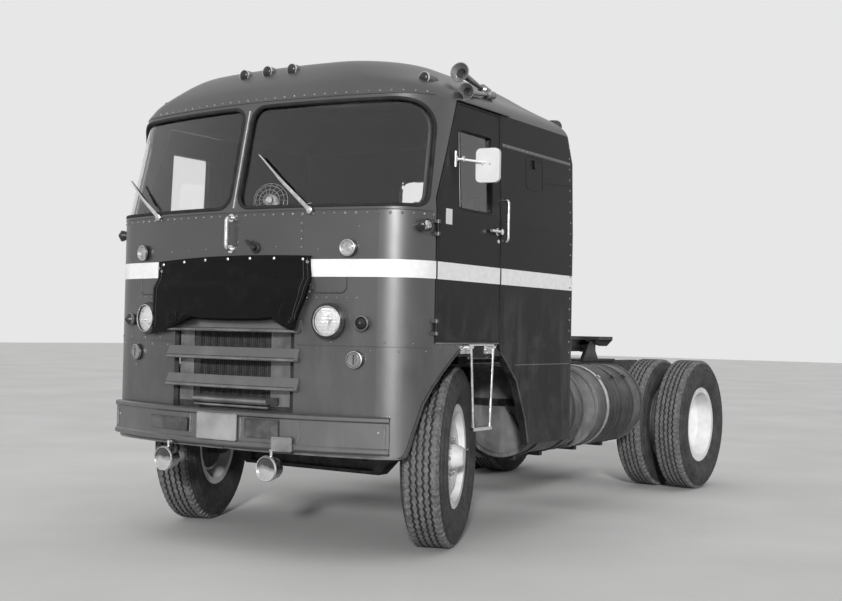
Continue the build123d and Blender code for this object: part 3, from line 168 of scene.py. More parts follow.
def circle(steps, turn=0.0):
    """The cosine and sine of even angles, once round."""
    angles = [2 * math.pi * index / steps + turn for index in range(steps)]
    return [(math.cos(angle), math.sin(angle)) for angle in angles]


def ring(place, radius, steps, height=0.0, turn=0.0):
    """Points round the place's Z axis."""
    return [place @ Vector((radius * c, radius * s, height)) for c, s in circle(steps, turn)]


def lathe(shape, points, place, steps=24, closed=False):
    """Points of (height, radius) turned about the place's Z axis."""
    rows = [[place @ Vector((r * c, r * s, h)) for h, r in points] for c, s in circle(steps)]
    shape.grid(rows, around=closed, along=True)


def dome(shape, spot, normal, radius, height, steps=8):
    """A low round head, such as a rivet's."""
    place = at(spot, normal)
    lathe(shape, [(0.0, radius), (height * 0.6, radius * 0.78), (height, radius * 0.3)], place, steps)
    shape.lid(ring(place, radius * 0.3, steps, height))


def nut(shape, place, radius, height):
    """A six-sided nut with a stub of its stud."""
    for r, low, high, count, turn in (
        (radius, 0.0, height, 6, 0.0),
        (radius * 0.5, height, height * 1.5, 10, 0.1),
    ):
        top = ring(place, r, count, high, turn)
        shape.grid([ring(place, r, count, low, turn), top], around=True)
        shape.lid(top)


def slab(shape, place, size, bevel=0.0):
    """A box about its middle, with its upright edges cut."""
    a, b, c = (s / 2 for s in size)
    k = min(bevel, a * 0.9, b * 0.9)
    outline = [(-a, -b), (a, -b), (a, b), (-a, b)]
    if k > 0.0:
        outline = [
            (-a + k, -b), (a - k, -b), (a, -b + k), (a, b - k),
            (a - k, b), (-a + k, b), (-a, b - k), (-a, -b + k),
        ]
    rows = [[place @ Vector((x, y, z)) for x, y in outline] for z in (-c, c)]
    shape.grid(rows, around=True)
    shape.cap(rows)


def heading_at(points, index, closed):
    """From the point before to the point after, along a run of points."""
    count = len(points)
    before = points[index - 1] if index > 0 or closed else points[0]
    after = points[(index + 1) % count] if index < count - 1 or closed else points[-1]
    return after - before


def tube(shape, path, radius, steps=10, closed=False):
    """A round tube along a path, with its ends capped."""
    rows = []
    side = None
    for index, point in enumerate(path):
        heading = heading_at(path, index, closed).normalized()
        if side is None:
            side = heading.orthogonal().normalized()
        side = (side - heading * side.dot(heading)).normalized()
        other = heading.cross(side)
        rows.append([point + radius * (c * side + s * other) for c, s in circle(steps)])
    shape.grid(rows, around=True, along=closed)
    if not closed:
        shape.cap(rows)


def bead(shape, spots, width, height, closed=False, sink=0.002):
    """A rounded strip that lies on a surface along spots of (point, normal)."""
    profile = [
        (-1.0, -sink), (-0.92, height * 0.55), (-0.55, height),
        (0.55, height), (0.92, height * 0.55), (1.0, -sink),
    ]
    points = [point for point, _ in spots]
    rows = []
    for index, (point, normal) in enumerate(spots):
        across = heading_at(points, index, closed).cross(normal).normalized()
        rows.append([point + across * (width / 2 * s) + normal * lift for s, lift in profile])
    shape.grid(rows, along=closed)
    if not closed:
        shape.cap(rows)


def resample(points, step, closed=False):
    """Points at even steps along a run of points."""
    run = list(points) + ([points[0]] if closed else [])
    lengths = [0.0]
    for a, b in zip(run, run[1:]):
        lengths.append(lengths[-1] + (b - a).length)
    count = max(2, round(lengths[-1] / step))
    out = []
    leg = 0
    for index in range(count + (0 if closed else 1)):
        target = lengths[-1] * index / count
        while leg < len(run) - 2 and lengths[leg + 1] < target:
            leg += 1
        span = lengths[leg + 1] - lengths[leg]
        share = (target - lengths[leg]) / span if span > 0 else 0.0
        out.append(run[leg].lerp(run[leg + 1], min(1.0, share)))
    return out


def rounded(corners, radius, steps=6):
    """A closed outline of 2-D corners with each corner turned by a curve."""
    out = []
    for index, corner in enumerate(corners):
        here = Vector(corner)
        back = Vector(corners[index - 1]) - here
        ahead = Vector(corners[(index + 1) % len(corners)]) - here
        reach = min(radius, back.length * 0.48, ahead.length * 0.48)
        start = here + back.normalized() * reach
        end = here + ahead.normalized() * reach
        for step in range(steps + 1):
            t = step / steps
            out.append((1 - t) ** 2 * start + 2 * t * (1 - t) * here + t ** 2 * end)
    return out


# The cab's skin, found by rays against the CAD nodes

def search_tree(*names):
    """One search tree over the faces of the named nodes."""
    verts = []
    faces = []
    for name in names:
        mesh = NODES[name].data
        base = len(verts)
        verts.extend(v.co.copy() for v in mesh.vertices)
        faces.extend(tuple(base + i for i in p.vertices) for p in mesh.polygons)
    return BVHTree.FromPolygons(verts, faces)


CAB_TREE = search_tree(
    "front_panel", "windshield_frame", "windshield_glass", "roof", "side_left", "side_right",
    "rear_wall", "door_left", "door_right",
)


def cast(start, heading, tree=CAB_TREE):
    """Where a ray first meets the skin, and the skin's normal there."""
    point, normal, _, _ = tree.ray_cast(start, heading)
    if point is None:
        return None
    if normal.dot(heading) > 0:
        normal = -normal
    return point, normal


def from_front(x, z, tree=CAB_TREE):
    return cast(mm(x, -3000, z), REARWARD, tree)


def from_side(y, z, side=1):
    return cast(mm(side * 2500, y, z), Vector((-side, 0, 0)))


def from_behind(x, z):
    return cast(mm(x, 2400, z), FORWARD)


def spots_along(line, step, find, closed=False):
    """The spots that find(a, b) meets at even steps along a run of (a, b) in millimetres."""
    run = resample([Vector((a / 1000, b / 1000, 0)) for a, b in line], step, closed)
    spots = [find(p.x * 1000, p.y * 1000) for p in run]
    return [spot for spot in spots if spot]


def side_run(line, side, step=0.02, shift=0.0, rise=0.0, least=0.75, closed=False):
    """Spots on the cab's side along a run of (y, z), moved along it and up, no nearer X = 0 than least."""
    spots = spots_along(line, step, lambda y, z: from_side(y + shift, z + rise, side), closed)
    return [spot for spot in spots if abs(spot[0].x) > least]


def round_nose(z, start=-96.0, end=96.0, step=0.02):
    """Spots round the nose at one height, from the right door to the left one."""
    centre = mm(0, -560, z)
    limit = mm(0, DOOR_FRONT - 16 if z < DOOR_HIGH else 400, 0).y
    raw = []
    count = 240
    for index in range(count + 1):
        angle = math.radians(start + (end - start) * index / count)
        outward = Vector((math.sin(angle), -math.cos(angle), 0))
        hit = cast(centre + outward * 3, -outward)
        if hit:
            raw.append(hit[0])
    spots = []
    for point in resample(raw, step):
        outward = point - centre
        outward.z = 0
        outward.normalize()
        hit = cast(point + outward * 0.5, -outward)
        if hit and hit[0].y < limit:
            spots.append(hit)
    return spots


# Materials

class Graph:
    """A node tree with short names for the nodes it needs."""

    def __init__(self, tree):
        self.tree = tree
        tree.nodes.clear()

    def put(self, socket, value):
        """Link an output into an input, or set a number, a grey or a colour on it."""
        if isinstance(value, bpy.types.NodeSocket):
            self.tree.links.new(value, socket)
            return
        if socket.type == "RGBA":
            value = (*value, 1.0) if isinstance(value, tuple) else (value, value, value, 1.0)
        socket.default_value = value

    def fill(self, node, **inputs):
        """Each named input of a node linked or set."""
        for key, value in inputs.items():
            self.put(node.inputs[key.replace("_", " ").title().replace("Ior", "IOR")], value)
        return node

    def node(self, kind, **inputs):
        return self.fill(self.tree.nodes.new("ShaderNode" + kind), **inputs)

    def calc(self, operation, *values):
        node = self.node("Math")
        node.operation = operation
        for socket, value in zip(node.inputs, values):
            self.put(socket, value)
        return node.outputs["Value"]


class Finish(Graph):
    """A node-built material, with noises placed in the object's own space."""

    def __init__(self, name):
        self.material = bpy.data.materials.new(name)
        self.material.use_nodes = True
        super().__init__(self.material.node_tree)
        self.shader = self.node("BsdfPrincipled")
        self.node("OutputMaterial", surface=self.shader.outputs["BSDF"])
        self.place = self.node("TexCoord").outputs["Object"]

    def set(self, **values):
        self.fill(self.shader, **values)

    def noise(self, scale, detail=4.0, rough=0.55, place=None):
        node = self.node("TexNoise", scale=scale, detail=detail, roughness=rough, vector=place or self.place)
        return node.outputs["Fac"]

    def cells(self, scale):
        return self.node("TexVoronoi", scale=scale, vector=self.place).outputs["Distance"]

    def wave(self, scale, axis="X", distortion=0.0):
        node = self.node("TexWave", scale=scale, distortion=distortion, vector=self.place)
        node.bands_direction = axis
        return node.outputs["Fac"]

    def spread(self, value, low, high, out_low=0.0, out_high=1.0):
        """The value's stretch from low to high brought to a new range."""
        node = self.node("MapRange", value=value, from_min=low, from_max=high)
        self.fill(node, to_min=out_low, to_max=out_high)
        return node.outputs["Result"]

    def clouds(self, scale, detail, rough, low, high, out_low=0.0, out_high=1.0, stretch=None):
        """Noise, stretched along each axis if asked, brought to a new range."""
        place = stretch and self.node("Mapping", scale=stretch, vector=self.place).outputs["Vector"]
        return self.spread(self.noise(scale, detail, rough, place), low, high, out_low, out_high)

    def mix(self, share, a, b):
        """Between two greys or colours."""
        node = self.node("Mix")
        node.data_type = "RGBA"
        for index, value in ((0, share), (6, a), (7, b)):
            self.put(node.inputs[index], value)
        return node.outputs[2]

    def axis(self, letter):
        return self.node("SeparateXYZ", vector=self.place).outputs[letter]

    def bump(self, height, strength, distance, after=None):
        node = self.node("Bump", strength=strength, distance=distance, height=height)
        if after is not None:
            self.fill(node, normal=after)
        self.set(normal=node.outputs["Normal"])
        return node.outputs["Normal"]

    def bumps(self, rows):
        """Bumps of (scale, detail, strength, distance), each on the one before. No detail means cells."""
        after = None
        for scale, detail, strength, distance in rows:
            height = self.noise(scale, detail) if detail else self.cells(scale)
            after = self.bump(height, strength, distance, after)


def body_paint(name, dark, pale, rough, shine):
    """Dark enamel with the white waist stripe, road dust low down and rain streaks."""
    f = Finish(name)
    height = f.axis("Z")
    colour = f.mix(f.clouds(1.1, 5.0, 0.55, 0.35, 0.68), dark, pale)
    below = f.spread(height, 1.62, 1.35)
    streaks = f.clouds(1.0, 8.0, 0.68, 0.47, 0.72, 0.0, 0.42, (7.0, 7.0, 1.5))
    colour = f.mix(f.calc("MULTIPLY", streaks, below), colour, 0.09)
    blots = f.clouds(3.4, 8.0, 0.62, 0.52, 0.66, 0.0, 0.4)
    colour = f.mix(f.calc("MULTIPLY", blots, below), colour, 0.07)
    dust = f.clouds(5.0, 6.0, 0.55, 0.35, 0.75, 0.0, 0.35)
    colour = f.mix(f.calc("MULTIPLY", f.spread(height, 1.15, 0.55), dust), colour, 0.075)
    chips = f.clouds(95.0, 3.0, 0.55, 0.735, 0.75, 0.0, 0.5)
    colour = f.mix(chips, colour, 0.16)
    worn = f.clouds(30.0, 6.0, 0.55, 0.4, 0.7, 0.0, 0.22)
    white = f.mix(worn, 0.82, 0.40)
    stripe_half = (STRIPE_HIGH - STRIPE_LOW) / 2000
    stripe = f.calc("COMPARE", height, STRIPE_LOW / 1000 + stripe_half, stripe_half)
    f.set(base_color=f.mix(stripe, colour, white), ior=shine, coat_weight=0.25, coat_roughness=0.25)
    f.set(roughness=f.clouds(2.2, 6.0, 0.55, 0.3, 0.75, rough - 0.05, rough + 0.06))
    f.bumps([(2.6, 2.0, 0.2, 0.010), (240.0, 2.0, 0.04, 0.001)])
    return f.material


def surface(name, tone, layers=(), rough=0.5, bumps=(), **values):
    """A finish of cloudy greys.

    The tone is a noise's scale, detail, roughness, low and high, and the grey at each end. A layer over
    it begins alike, then has its stretch if any, its share and its grey. The roughness is one number,
    or begins alike and ends with its least and most. Bumps are as in Finish.bumps.
    """
    f = Finish(name)
    colour = f.mix(f.clouds(*tone[:5]), *tone[5:])
    for *cloud, share, grey in layers:
        colour = f.mix(f.clouds(*cloud[:5], 0.0, share, *cloud[5:]), colour, grey)
    f.set(base_color=colour, roughness=f.clouds(*rough) if isinstance(rough, tuple) else rough, **values)
    f.bumps(bumps)
    return f.material


def plain_paint(name, low, high, rough=0.45, metal=0.0, dust=0.3, grain=40.0):
    """A painted or cast finish that varies between two greys and gathers dust."""
    return surface(
        name, (grain / 6, 6.0, 0.55, 0.32, 0.7, low, high),
        [(grain / 3, 5.0, 0.65, 0.45, 0.75, dust, 0.24)],
        (grain / 4, 5.0, 0.55, 0.3, 0.7, rough - 0.1, rough + 0.15),
        [(grain, 5.0, 0.18, 0.003)], metallic=metal)


def chrome(name="chrome", low=0.62, high=0.82, rough=0.16):
    """Plated or polished metal with fine pits and a breath of dust."""
    return surface(
        name, (30.0, 5.0, 0.55, 0.35, 0.7, high, low),
        [(170.0, 3.0, 0.55, 0.66, 0.72, 0.6, 0.18)],
        (22.0, 5.0, 0.55, 0.3, 0.75, rough - 0.06, rough + 0.2),
        [(160.0, 3.0, 0.06, 0.001)], metallic=1.0)


def tank_metal(name="tank_metal", low=0.04, high=0.13, streak=0.22):
    """Dull painted tank sheet with rubbed bands, drips and old dents."""
    return surface(
        name, (3.5, 6.0, 0.6, 0.35, 0.7, low, high),
        [(1.0, 5.0, 0.6, 0.5, 0.75, (24.0, 24.0, 2.2), 0.5, streak)],
        (8.0, 5.0, 0.55, 0.3, 0.7, 0.35, 0.6),
        [(7.0, 2.0, 0.6, 0.014), (70.0, 4.0, 0.25, 0.002)], metallic=0.3)


def lamp_glass_painted_reflection():
    """Pressed lens glass with upright flutes; its pale colour is a painted reflection of the reflector behind,
    striped along the flutes, with darker mottled patches.
    """
    f = Finish("lamp_glass_painted_reflection")
    flutes = f.wave(40.0, "X")
    # the pale colour is a painted reflection of the reflector, paler and darker along the flutes
    tone = f.mix(f.spread(flutes, 0.1, 0.9), 0.45, 0.8)
    dark_mottle = f.clouds(24.0, 4.0, 0.55, 0.55, 0.7, 0.0, 0.7)
    f.set(base_color=f.mix(dark_mottle, tone, 0.07), metallic=0.1)
    f.set(roughness=0.16, coat_weight=1.0, coat_roughness=0.03)
    bent = f.bump(flutes, 0.5, 0.004)
    f.bump(f.wave(16.0, "Z"), 0.3, 0.003, bent)
    return f.material


def crystal():
    """A faceted lens whose colour carries painted glints, bright or dark cut by cut."""
    f = Finish("crystal")
    cuts = f.cells(85.0)
    # bright and dark cells: painted glints on the cuts
    f.set(base_color=f.mix(f.spread(cuts, 0.15, 0.6), 0.92, 0.25), metallic=0.5)
    f.set(roughness=0.08, coat_weight=1.0, coat_roughness=0.02)
    f.bump(cuts, 1.0, 0.006)
    return f.material


def painted_reflection_bowl():
    """The fog lamp's bowl behind its lens, with a painted reflection: dark in its upper half, bright below."""
    f = Finish("fog_bowl_painted_reflection")
    height = f.calc("ADD", f.axis("Z"), f.clouds(18.0, 3.0, 0.55, 0.3, 0.7, -0.012, 0.012))
    # dark above and bright below: a painted reflection in the bowl
    f.set(base_color=f.mix(f.spread(height, 0.500, 0.528), 0.5, 0.02), metallic=0.35)
    f.set(roughness=0.12, coat_weight=1.0, coat_roughness=0.03)
    f.bumps([(30.0, 3.0, 0.15, 0.002)])
    return f.material


def canvas():
    """Waxed black canvas: a plain weave, a little scuffed in patches."""
    f = Finish("canvas")
    f.set(base_color=f.mix(f.clouds(11.0, 6.0, 0.65, 0.5, 0.8, 0.0, 0.4), 0.005, 0.022))
    f.set(roughness=0.85, sheen_weight=0.02, specular_ior_level=0.12)
    threads = f.calc("MULTIPLY", f.wave(420.0, "X"), f.wave(420.0, "Z"))
    soft = f.bump(f.noise(16.0, 5.0), 0.3, 0.006)
    f.bump(threads, 0.35, 0.0008, soft)
    return f.material


def radiator_core():
    """Fin and tube core: a squiggle of folded fins between fine upright tubes, darker where its relief is low as
    painted shade in its hollows.
    """
    f = Finish("radiator")
    tubes = f.spread(f.wave(26.0, "X"), 0.15, 0.75)
    fins = f.spread(f.wave(62.0, "Z", distortion=3.5), 0.1, 0.9)
    cells = f.spread(f.spread(f.cells(70.0), 0.15, 0.6), 0.0, 1.0, 0.45, 1.0)
    relief_and_shade = f.calc("MULTIPLY", f.calc("MULTIPLY", tubes, fins), cells)
    dirt = f.clouds(12.0, 5.0, 0.55, 0.35, 0.75, 0.0, 0.4)
    # the colour darkens where the relief is low: painted shade between the fins and tubes
    f.set(base_color=f.mix(dirt, f.mix(relief_and_shade, 0.02, 0.26), 0.09), metallic=0.4, roughness=0.5)
    f.bump(relief_and_shade, 0.9, 0.004)
    return f.material


def paper():
    """Ruled sheets, a little uneven."""
    f = Finish("paper")
    f.set(base_color=f.mix(f.spread(f.wave(60.0, "Y"), 0.86, 0.95, 0.0, 0.3), 0.6, 0.3), roughness=0.85)
    f.bumps([(40.0, 4.0, 0.2, 0.002)])
    return f.material


PAINT = body_paint("body_paint", 0.016, 0.030, 0.42, 1.9)
# The sides, doors and rear wall take a darker, less glossy copy of the body paint: painted shade for faces turned
# away from the light.
SHADED_SIDE_PAINT = body_paint("side_paint_painted_shade", 0.004, 0.010, 0.5, 1.18)
BUMPER_PAINT = body_paint("bumper_paint", 0.010, 0.022, 0.36, 2.3)
CHASSIS = plain_paint("chassis_black", 0.010, 0.032, 0.6, dust=0.2)
WHEEL_WHITE = surface(
    "wheel_paint", (5.0, 6.0, 0.55, 0.35, 0.7, 0.80, 0.50),
    [(26.0, 6.0, 0.7, 0.64, 0.72, 0.75, (0.11, 0.10, 0.095))],
    (9.0, 4.0, 0.55, 0.3, 0.7, 0.42, 0.65), [(50.0, 4.0, 0.15, 0.002)])
RUBBER = surface(
    "tyre_rubber", (14.0, 6.0, 0.65, 0.35, 0.7, 0.06, 0.14), [(60.0, 5.0, 0.7, 0.42, 0.7, 0.5, 0.3)],
    0.85, [(120.0, 4.0, 0.3, 0.002)], specular_ior_level=0.3)
RUBBER_SIDE = surface(
    "tyre_side", (9.0, 6.0, 0.6, 0.35, 0.7, 0.02, 0.05), [(45.0, 5.0, 0.7, 0.48, 0.74, 0.4, 0.13)],
    0.75, [(90.0, 4.0, 0.2, 0.0015)], specular_ior_level=0.4)
SEAL = plain_paint("black_rubber", 0.005, 0.011, 0.8, dust=0.03, grain=60.0)
ENGINE = plain_paint("oily_cast", 0.015, 0.045, 0.5, 0.3)
# Rivet heads are much paler than the paint they share: a painted highlight where they catch the light.
RIVET_PAINTED_HIGHLIGHT = plain_paint("rivet_heads_painted_highlight", 0.10, 0.28, 0.3, 0.4, dust=0.25)
# Pale rubbed edges; on the bars' rolled lips the paleness is a painted highlight.
EDGE_WEAR_AND_HIGHLIGHT = plain_paint("rubbed_edge_and_painted_highlight", 0.10, 0.22, 0.4, 0.2, dust=0.3)
# Arch lips: a little paler than the side paint, a painted highlight on the rolled edge.
ARCH_LIP_HIGHLIGHT = plain_paint("arch_lip_painted_highlight", 0.03, 0.07, 0.5, dust=0.15)
RADIATOR_CORE_SHADED = radiator_core()
SHROUD = plain_paint("radiator_shroud", 0.02, 0.05, 0.55, 0.2, dust=0.15)
SIDE_PLATE = plain_paint("side_plate", 0.12, 0.28, 0.45, 0.5, dust=0.3)
SHEET_METAL = plain_paint("dull_sheet", 0.22, 0.4, 0.4, 0.7, dust=0.25)
TANK = tank_metal()
CHROME = chrome()
DULL_BRIGHT = chrome("worn_plate", 0.4, 0.62, 0.3)
LENS_GLASS_PAINTED_REFLECTION = lamp_glass_painted_reflection()
DIM_GLASS = surface(
    "dim_glass", (28.0, 4.0, 0.55, 0.35, 0.7, 0.22, 0.46), (),
    0.22, [(130.0, 0, 0.6, 0.003)], coat_weight=1.0, coat_roughness=0.04)
CRYSTAL_PAINTED_GLINTS = crystal()
FOG_BOWL_PAINTED_REFLECTION = painted_reflection_bowl()
TANK_CAP = tank_metal("tank_cap", 0.10, 0.26, 0.34)
TANK_DARK = tank_metal("tank_wrinkled", 0.014, 0.05, 0.1)
CANVAS = canvas()
GLASS = surface(
    "glass", (9.0, 5.0, 0.55, 0.4, 0.8, 0.97, 0.945), (),
    (7.0, 6.0, 0.55, 0.4, 0.85, 0.01, 0.05), transmission_weight=1.0, ior=1.45)
INSIDE = plain_paint("cab_lining", 0.014, 0.03, 0.6, dust=0.06)
LEATHER = surface(
    "leathercloth", (12.0, 5.0, 0.55, 0.35, 0.7, 0.035, 0.07), (),
    0.5, [(420.0, 0, 0.35, 0.0012)], sheen_weight=0.08)
WOOL = surface(
    "wool", (60.0, 5.0, 0.55, 0.3, 0.7, 0.16, 0.27), (),
    0.95, [(300.0, 3.0, 0.5, 0.002)], sheen_weight=0.5)
GREASED = plain_paint("greased_steel", 0.015, 0.05, 0.35, 0.6, dust=0.15)
WHITE = plain_paint("white_enamel", 0.6, 0.75, 0.35, dust=0.2)
DARK_PLATE = plain_paint("dark_plate", 0.035, 0.07, 0.45, dust=0.3)
PALE_PLATE = plain_paint("pale_plate", 0.22, 0.36, 0.45, dust=0.35)
GREY_PLATE = plain_paint("grey_plate", 0.12, 0.24, 0.45, dust=0.35)
LAMP_BLACK = plain_paint("lamp_black", 0.008, 0.02, 0.28, dust=0.1)
HORN_METAL = plain_paint("horn_metal", 0.14, 0.26, 0.3, 0.6, dust=0.2)
MIRROR_GLASS = surface("mirror_glass", (25.0, 4.0, 0.55, 0.4, 0.8, 0.9, 0.84), (), 0.03, metallic=1.0)
PAPER = paper()

NODE_FINISH = {
    "air_horns": HORN_METAL,
    "bumper": BUMPER_PAINT, "grille_bars": BUMPER_PAINT, "side_left": SHADED_SIDE_PAINT, "side_right": SHADED_SIDE_PAINT,
    "door_left": SHADED_SIDE_PAINT, "door_right": SHADED_SIDE_PAINT, "rear_wall": SHADED_SIDE_PAINT,
}
SLOT_FINISH = {
    "body_paint": PAINT, "chassis": CHASSIS, "wheel_paint": WHEEL_WHITE, "tyre": RUBBER,
    "engine": ENGINE, "radiator": SHROUD, "tank": TANK, "bright": CHROME, "lamp": LAMP_BLACK,
    "canvas": CANVAS, "glass": GLASS, "cab_inside": INSIDE, "seat": LEATHER, "fifth_wheel": GREASED,
}


def dress_nodes():
    """Every CAD node takes its own finish or its slot's."""
    for entry in frame["record"]["subparts"]:
        mesh = NODES[entry["node"]].data
        mesh.materials.clear()
        mesh.materials.append(NODE_FINISH.get(entry["node"], SLOT_FINISH[entry["material_slot"]]))


dress_nodes()


# Wheels: tyres with a ribbed tread, nuts and valves

TYRE_R = 0.550
RIM_R = 0.286
TREAD_HALF = 0.093
SHOULDER = 0.107
SIDE_HALF = 0.1375
GROOVES = [-0.056, -0.019, 0.019, 0.056]
GROOVE_HALF = 0.0072
GROOVE_DEPTH = 0.016
TYRE_STEPS = 288
ZIGZAG_STEPS = 4
ZIGZAG = 0.0034
NOTCH_STEPS = 4
NOTCH_DEPTH = 0.014
BEAD_HALF = 0.083
SIDE_LOW = RIM_R + 0.033
SIDE_HIGH = TYRE_R - 0.024
FRONT_OFFSET = 0.120
TWIN_OFFSETS = (-0.1715, 0.1715)


def joint(name):
    return next(j for j in frame["joints"] if j["name"] == name)


def wheel_place(name, offset):
    """A place whose Z axis is the wheel's axle, moved along it by an offset."""
    spin = joint(name)
    axle = Vector(spin["axis"]).normalized()
    centre = Vector(spin["pos_m"]) + axle * offset
    return Matrix.Translation(centre) @ upright(axle)


def side_across(radius):
    """How far out of its middle a tyre's side stands at a radius."""
    share = (radius - SIDE_LOW) / (SIDE_HIGH - SIDE_LOW)
    angle = math.radians(-78 + 146 * share)
    return BEAD_HALF + (SIDE_HALF - BEAD_HALF) * max(0.0, math.cos(angle)) ** 0.8


def side_curve(sign):
    """A tyre's side from its bead to its shoulder, as (across, radius)."""
    radii = [SIDE_LOW + (SIDE_HIGH - SIDE_LOW) * step / 9 for step in range(1, 9)]
    middle = [(sign * side_across(radius), radius) for radius in radii]
    return [(sign * BEAD_HALF, RIM_R + 0.001), *middle, (sign * SHOULDER, SIDE_HIGH)]


def tyre(tread, sides, place):
    """A tyre about the place's Z axis: ribs with zigzag grooves, notched shoulders and plain sides."""
    near = side_curve(-1)
    far = list(reversed(side_curve(1)))
    rows = {}
    for step, (c, s) in enumerate(circle(TYRE_STEPS)):
        swing = ZIGZAG if step % ZIGZAG_STEPS < ZIGZAG_STEPS / 2 else -ZIGZAG
        notch = NOTCH_DEPTH if step % NOTCH_STEPS < 2 else 0.0
        shoulder = (SHOULDER - 0.003 - notch * 0.3, TYRE_R - 0.010 - notch)
        edge = (TREAD_HALF, TYRE_R - notch * 0.6)
        rib = [near[-1], (-shoulder[0], shoulder[1]), (-edge[0], edge[1])]
        runs = {"near": near, "far": far}
        for index, groove in enumerate(GROOVES):
            x = groove + (swing if index % 2 == 0 else -swing)
            cut = [
                (x - GROOVE_HALF, TYRE_R), (x - GROOVE_HALF * 0.6, TYRE_R - GROOVE_DEPTH),
                (x + GROOVE_HALF * 0.6, TYRE_R - GROOVE_DEPTH), (x + GROOVE_HALF, TYRE_R),
            ]
            runs["rib_%d" % index] = rib + cut[:1]
            runs["cut_%d" % index] = cut
            rib = cut[-1:]
        runs["rib_last"] = rib + [edge, shoulder, far[0]]
        for key, run in runs.items():
            rows.setdefault(key, []).append([place @ Vector((r * c, r * s, x)) for x, r in run])
    for key, turns in rows.items():
        if key.startswith("rib"):
            tread.grid(turns, along=True)
        else:
            sides.grid(turns if key.startswith("cut") else turns[::4], along=True)


def side_rings(shape, place, sign):
    """The fine moulded rings on a tyre's side."""
    for radius, width in ((0.345, 0.0022), (0.47, 0.0022), (0.51, 0.003)):
        out = sign * (side_across(radius) + 0.0035)
        under = sign * (side_across(radius) - 0.003)
        profile = [(out, radius - width), (out, radius + width),
                   (under, radius + width * 2), (under, radius - width * 2)]
        lathe(shape, profile, place, 96, closed=True)


def make_tyres():
    """All six tyres, with one tread piece and one sides piece for each tyre node."""
    for node, spin, offsets, body in (
        ("tyre_front_left", "spin_front_left", (FRONT_OFFSET,), "wheel_front_left"),
        ("tyre_front_right", "spin_front_right", (-FRONT_OFFSET,), "wheel_front_right"),
        ("tyres_rear_left", "spin_rear_left", TWIN_OFFSETS, "wheels_rear_left"),
        ("tyres_rear_right", "spin_rear_right", TWIN_OFFSETS, "wheels_rear_right"),
    ):
        tread = Shape()
        sides = Shape()
        for offset in offsets:
            place = wheel_place(spin, offset)
            tyre(tread, sides, place)
            side_rings(sides, place, 1)
            side_rings(sides, place, -1)
        obj = piece(node + "_ribbed", tread, RUBBER, body, sharp=30.0)
        piece(node + "_sides", sides, RUBBER_SIDE, body, sharp=50.0)
        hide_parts(node)


make_tyres()


def wheel_fittings():
    """Nuts, studs, hub-cap screws and valves on the wheels."""
    for axle, wheel, face, bolt_ring, size, cap in (
        ("front", "wheel_front_", FRONT_OFFSET + 0.060, 0.104, 0.0135, None),
        ("rear", "wheels_rear_", 0.012, 0.138, 0.0165, 0.088),
    ):
        for side, tag in SIDES:
            shape = Shape()
            facing = Matrix.Rotation(0 if side > 0 else math.pi, 4, "X")
            base = wheel_place("spin_%s_%s" % (axle, tag), 0.0) @ facing @ at((0, 0, face))
            for c, s in circle(10):
                nut(shape, base @ at((bolt_ring * c, bolt_ring * s, 0.0)), size, 0.019)
            for c, s in circle(8, math.pi / 8) if cap else ():
                nut(shape, base @ at((0.046 * c, 0.046 * s, cap)), 0.007, 0.006)
            stem = [base @ Vector((r, 0.02, z)) for r, z in ((0.236, 0.0), (0.240, 0.035), (0.236, 0.07))]
            tube(shape, resample(stem, 0.01), 0.0045, 8)
            piece(wheel + tag + "_nuts", shape, DULL_BRIGHT, wheel + tag)


wheel_fittings()


# Windshield rubbers, read off the openings' own edges

def outer_loops(node, sharp=40.0):
    """The sharp edge loops of a node, each as a ring of points."""
    bm = bmesh.new()
    bm.from_mesh(NODES[node].data)
    bmesh.ops.remove_doubles(bm, verts=bm.verts, dist=0.00002)
    limit = math.radians(sharp)
    links = {}
    for edge in bm.edges:
        if len(edge.link_faces) == 2 and edge.calc_face_angle(0.0) > limit:
            a, b = edge.verts
            links.setdefault(a.index, []).append(b.index)
            links.setdefault(b.index, []).append(a.index)
    bm.verts.ensure_lookup_table()
    loops = []
    seen = set()
    for start in links:
        if start in seen or len(links[start]) != 2:
            continue
        ring = [start]
        seen.add(start)
        here = start
        whole = True
        while True:
            ahead = [i for i in links[here] if i not in seen]
            if not ahead:
                break
            here = ahead[0]
            if len(links[here]) != 2:
                whole = False
                break
            seen.add(here)
            ring.append(here)
        if whole and len(ring) > 12:
            loops.append([bm.verts[i].co.copy() for i in ring])
    bm.free()
    return loops


def pane_rings():
    """The outer edge of each windshield opening, right one first."""
    found = {}
    for loop in outer_loops("windshield_frame"):
        middle = sum(loop, Vector()) / len(loop)
        spread = max(p.z for p in loop) - min(p.z for p in loop)
        if spread < 0.5 or abs(middle.x) < 0.3 or max(p.x for p in loop) * min(p.x for p in loop) < 0:
            continue
        side = 1 if middle.x > 0 else -1
        front = min(p.y for p in loop)
        if side not in found or front < found[side][0]:
            found[side] = (front, loop)
    return {side: loop for side, (front, loop) in found.items()}


SEAL_WIDTH = 0.021
SEAL_HEIGHT = 0.007
SHEET_TREE = search_tree("front_panel", "windshield_frame", "roof", "side_left", "side_right")


def skin_normals(points):
    """The cab's outward direction beside each point of an opening, evened along it."""
    centre = mm(0, -300, 0)
    middle = sum(points, Vector()) / len(points)
    raw = []
    for point in points:
        beside = point + (point - middle).normalized() * 0.03
        heading = Vector((beside.x, beside.y - centre.y, 0)).normalized()
        hit = cast(beside + heading * 0.4, -heading, SHEET_TREE)
        raw.append(hit[1] if hit else heading)
    even = []
    for index in range(len(raw)):
        total = Vector()
        for step in range(-4, 5):
            total += raw[(index + step) % len(raw)]
        even.append(total.normalized())
    return even


